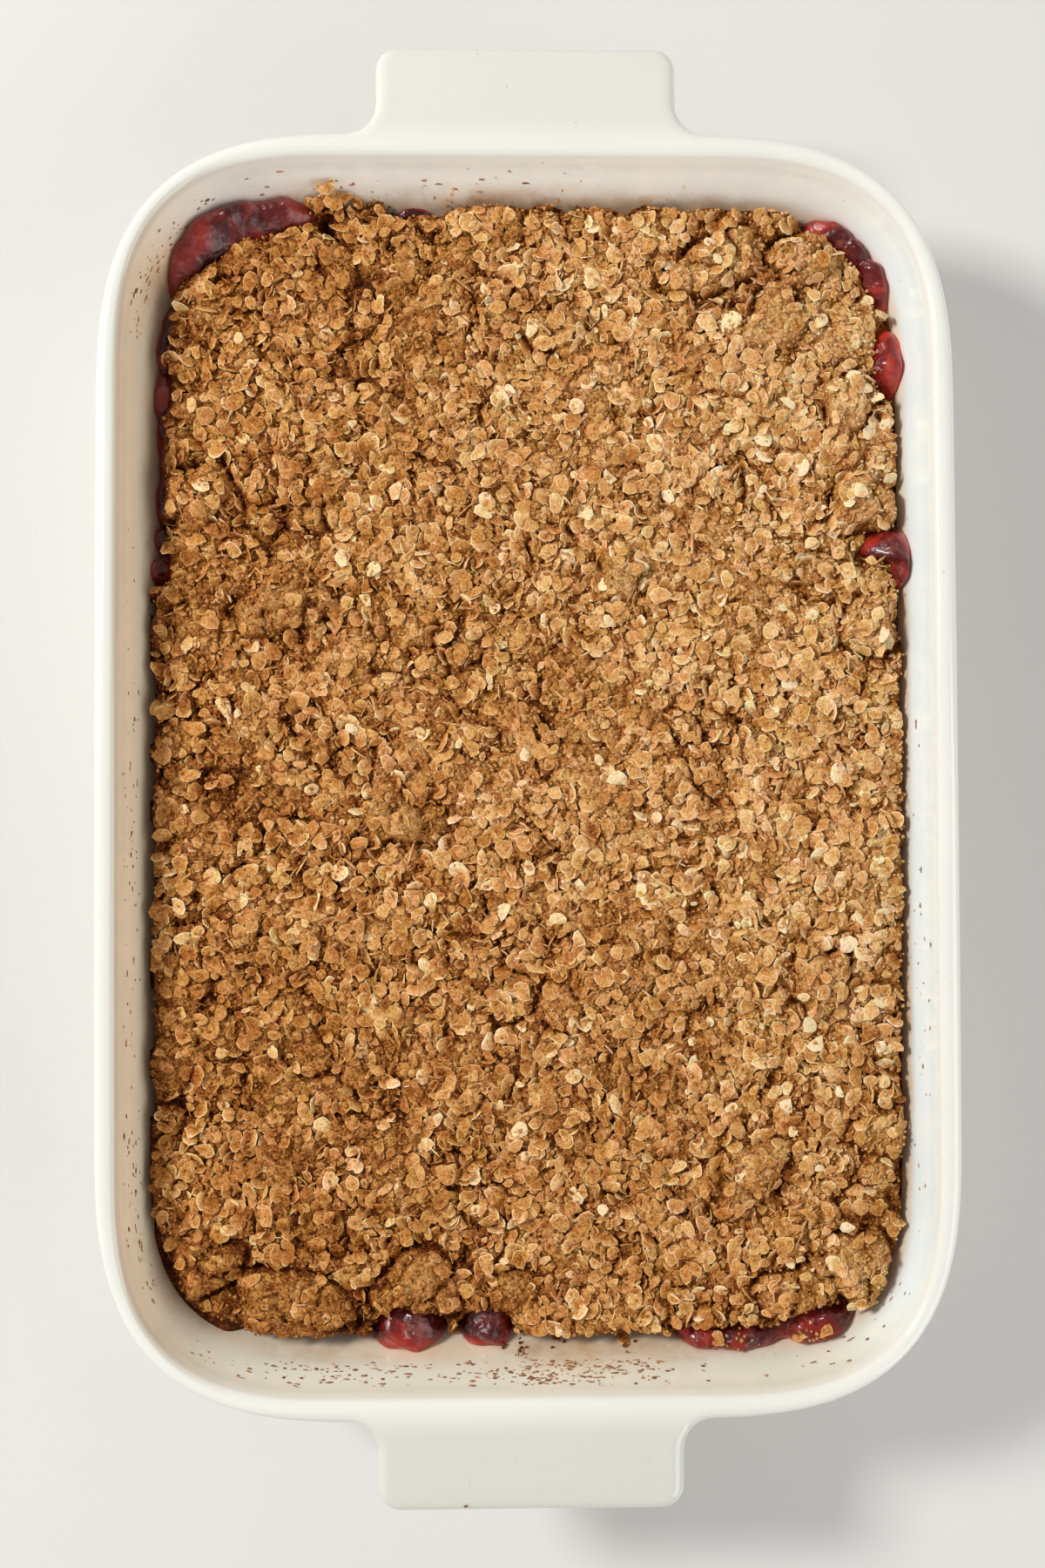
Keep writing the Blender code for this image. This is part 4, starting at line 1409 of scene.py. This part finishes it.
def make_filling():
    """The cherry filling: it lies under the crust, and swells up beside it in round, glossy lumps."""
    rings = []
    for _, z in [INNER_WALL[-1], *reversed(INNER_WALL[2:-1])]:
        level = min(z + CLEARANCE, FILLING_LEVEL)
        rings.append(wall_spots(station_edge, station_share, level, CLEARANCE))
    width = food_inset + FILLING_OVERLAP
    swell = np.minimum(1.0, bubble_rise / FULL_SWELL)
    lumps = layered(station_x, station_y, *CHERRIES)
    rise = np.maximum(LEAST_RISE, bubble_rise + lumps * CHERRY_SWELL * swell)
    shares = np.arange(SECTION_STEPS + 1) / SECTION_STEPS
    for share in shares:
        inward = lerp(CLEARANCE, width, share)
        flat = wall_spots(station_edge, station_share, FILLING_LEVEL + 0.6 * rise, inward)
        ripple = layered(flat[:, 0], flat[:, 1], *RIPPLES) * swell
        heights = FILLING_LEVEL + np.maximum(LEAST_RISE, bubble_section(share) * rise + ripple)
        rings.append(wall_spots(station_edge, station_share, np.round(heights, 4), inward))
    rings.append(wall_spots(station_edge, station_share, FILLING_LEVEL, width))
    points, faces = closed_skin(rings)
    piece = make_piece("cherry_syrup", points, faces, cherry_material())
    thin = np.zeros((len(rings), 1))
    thin[-len(shares) - 1 : -1, 0] = (1 - shares) ** 2
    bright = np.zeros(len(station_x))
    for cx, cy, spread, amount in BRIGHT_SPOTS:
        bright = np.maximum(bright, amount * near_spot(station_x, station_y, cx, cy, spread))
    set_tone(piece, thin, bright, shape=(len(rings), len(station_x)))
    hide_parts("cherry_filling")


# Specks and marks

# Specks baked on the wall: (middle x, middle y, spread along the wall, how many), in mm
SPECKS = [
    (12, -172, 34, 230),
    (-20, -172, 40, 50),
    (-60, -165, 34, 90),
    (-100, -125, 40, 60),
    (-108, -20, 90, 60),
    (-106, 138, 18, 40),
    (-92, 160, 25, 26),
    (-20, 172, 60, 22),
    (110, -60, 120, 30),
    (90, -150, 35, 18),
]
SPECK_SPREAD = 0.6
SPECK_LENGTH = (0.0004, 0.0042)
SPECK_WIDEST = 0.0014
SPECK_THICKNESS = 0.0003
SPECK_RANGE = (0.002, 0.0115)
SPECK_SLOPE = 0.33
ON_GLAZE = 0.00005

# Marks on the near handle: (x, y, length, turn), in mm and degrees
HANDLE_MARKS = [
    (-18.6, -206.4, 1.5, 15),
    (12.7, -194.3, 1.2, 70),
    (18.6, -194.4, 1.0, 20),
    (25.5, -201.0, 1.3, 140),
]
HANDLE_TOP = 0.0638


def speck_spots(random):
    """Places of the specks on the wall, each with its station."""
    for cx, cy, spread, number in SPECKS:
        weight = near_spot(station_x, station_y, cx, cy, SPECK_SPREAD * spread)
        chosen = random.choice(len(station_top), number, p=weight / weight.sum())
        high = CRUST_EDGE + SPECK_RANGE[0] + SPECK_RANGE[1] * random.beta(1.6, 2.0, number)
        edges, shares = station_edge[chosen], station_share[chosen]
        yield from zip(wall_spots(edges, shares, np.round(high, 4), ON_GLAZE), chosen)


def make_specks():
    """Tiny baked-on drips on the inner wall above the crust, and marks on the near handle."""
    random = np.random.default_rng(SEED + 3)
    ball, faces = round_lump()
    copies = []
    for spot, station in speck_spots(random):
        inward = station_inward[station]
        out = Vector((inward[0], inward[1], SPECK_SLOPE)).normalized()
        along = Vector((-inward[1], inward[0], 0.0))
        length = lerp(*SPECK_LENGTH, random.beta(1.1, 4.2))
        wide = min(length, SPECK_WIDEST) * random.uniform(0.4, 0.9)
        axes = np.array([along * length, out.cross(along) * wide, out * SPECK_THICKNESS])
        copies.append(spot + (ball * random.uniform(0.6, 1.3, (len(ball), 1))) @ axes)
    for x, y, long, turn in HANDLE_MARKS:
        cos, sin = long * math.cos(math.radians(turn)), long * math.sin(math.radians(turn))
        axes = np.array([(cos, sin, 0), (-sin * 0.5, cos * 0.5, 0), (0, 0, 0.3)]) * MM
        copies.append(np.array([x * MM, y * MM, HANDLE_TOP]) + ball @ axes)
    own = random.uniform(0, 1, len(copies))[:, None]
    make_copies("baked_specks", np.array(copies), faces, speck_material(), own)


# Stage, light and camera

FLOOR_SIZE = 6.0
FLOOR_LEVEL = -0.0002
LIT_POINT = Vector((0, 0, 0.04))
SKY_COLOR = (1.0, 0.99, 0.965, 1.0)
SKY_RANGE = (0.84, 0.30)
CAMERA_PLACE = (-0.0173, -0.0219, 0.6359)
CAMERA_TURN = (1.81, -1.54, -0.25)
CAMERA_LENS = 46.35


def make_stage():
    """A plain pale floor."""
    mesh = bpy.data.meshes.new("floor")
    corners = [(FLOOR_SIZE * x, FLOOR_SIZE * y, 0) for x, y in ((-1, -1), (1, -1), (1, 1), (-1, 1))]
    mesh.from_pydata(corners, [], [(0, 1, 2, 3)])
    mesh.materials.append(floor_material())
    floor = add_object("floor", mesh)
    floor.location.z = FLOOR_LEVEL


def area_light(name, place, size, power, color):
    """A soft light that faces the dish."""
    data = bpy.data.lights.new(name, "AREA")
    data.shape = "RECTANGLE"
    data.size, data.size_y = size
    data.energy = power
    data.color = color
    lamp = add_object(name, data)
    lamp.location = place
    lamp.rotation_euler = (LIT_POINT - Vector(place)).to_track_quat("-Z", "Y").to_euler()


def make_light():
    """A window light from the left, a soft fill from the right and a sky all round."""
    area_light("window", (-1.20, 0.45, 1.20), (0.35, 0.35), 24, (1.0, 0.985, 0.96))
    area_light("fill", (1.3, -0.6, 0.75), (1.6, 1.2), 11, (0.97, 0.99, 1.0))
    world = bpy.data.worlds.new("soft_room")
    world.use_nodes = True
    tree = world.node_tree
    sky = tree.nodes["Background"]
    sky.inputs["Color"].default_value = SKY_COLOR
    direction = tree.nodes.new("ShaderNodeTexCoord")
    split = tree.nodes.new("ShaderNodeSeparateXYZ")
    brightness = tree.nodes.new("ShaderNodeMapRange")
    tree.links.new(direction.outputs["Generated"], split.inputs["Vector"])
    tree.links.new(split.outputs["Z"], brightness.inputs["Value"])
    brightness.inputs["To Min"].default_value, brightness.inputs["To Max"].default_value = SKY_RANGE
    tree.links.new(brightness.outputs["Result"], sky.inputs["Strength"])
    bpy.context.scene.world = world
    bpy.context.scene.view_settings.view_transform = "Standard"


def make_camera():
    """A camera over the dish that looks straight down, from a little left of its middle and nearer."""
    data = bpy.data.cameras.new("camera")
    data.sensor_fit = "VERTICAL"
    data.sensor_height = 36
    data.lens = CAMERA_LENS
    camera = add_object("camera", data)
    camera.location = CAMERA_PLACE
    camera.rotation_euler = Euler([math.radians(angle) for angle in CAMERA_TURN])
    bpy.context.scene.camera = camera


make_dish()
make_filling()
make_core()
make_flakes()
make_crumbs()
make_edge_crumbs()
make_specks()
make_stage()
make_light()
make_camera()
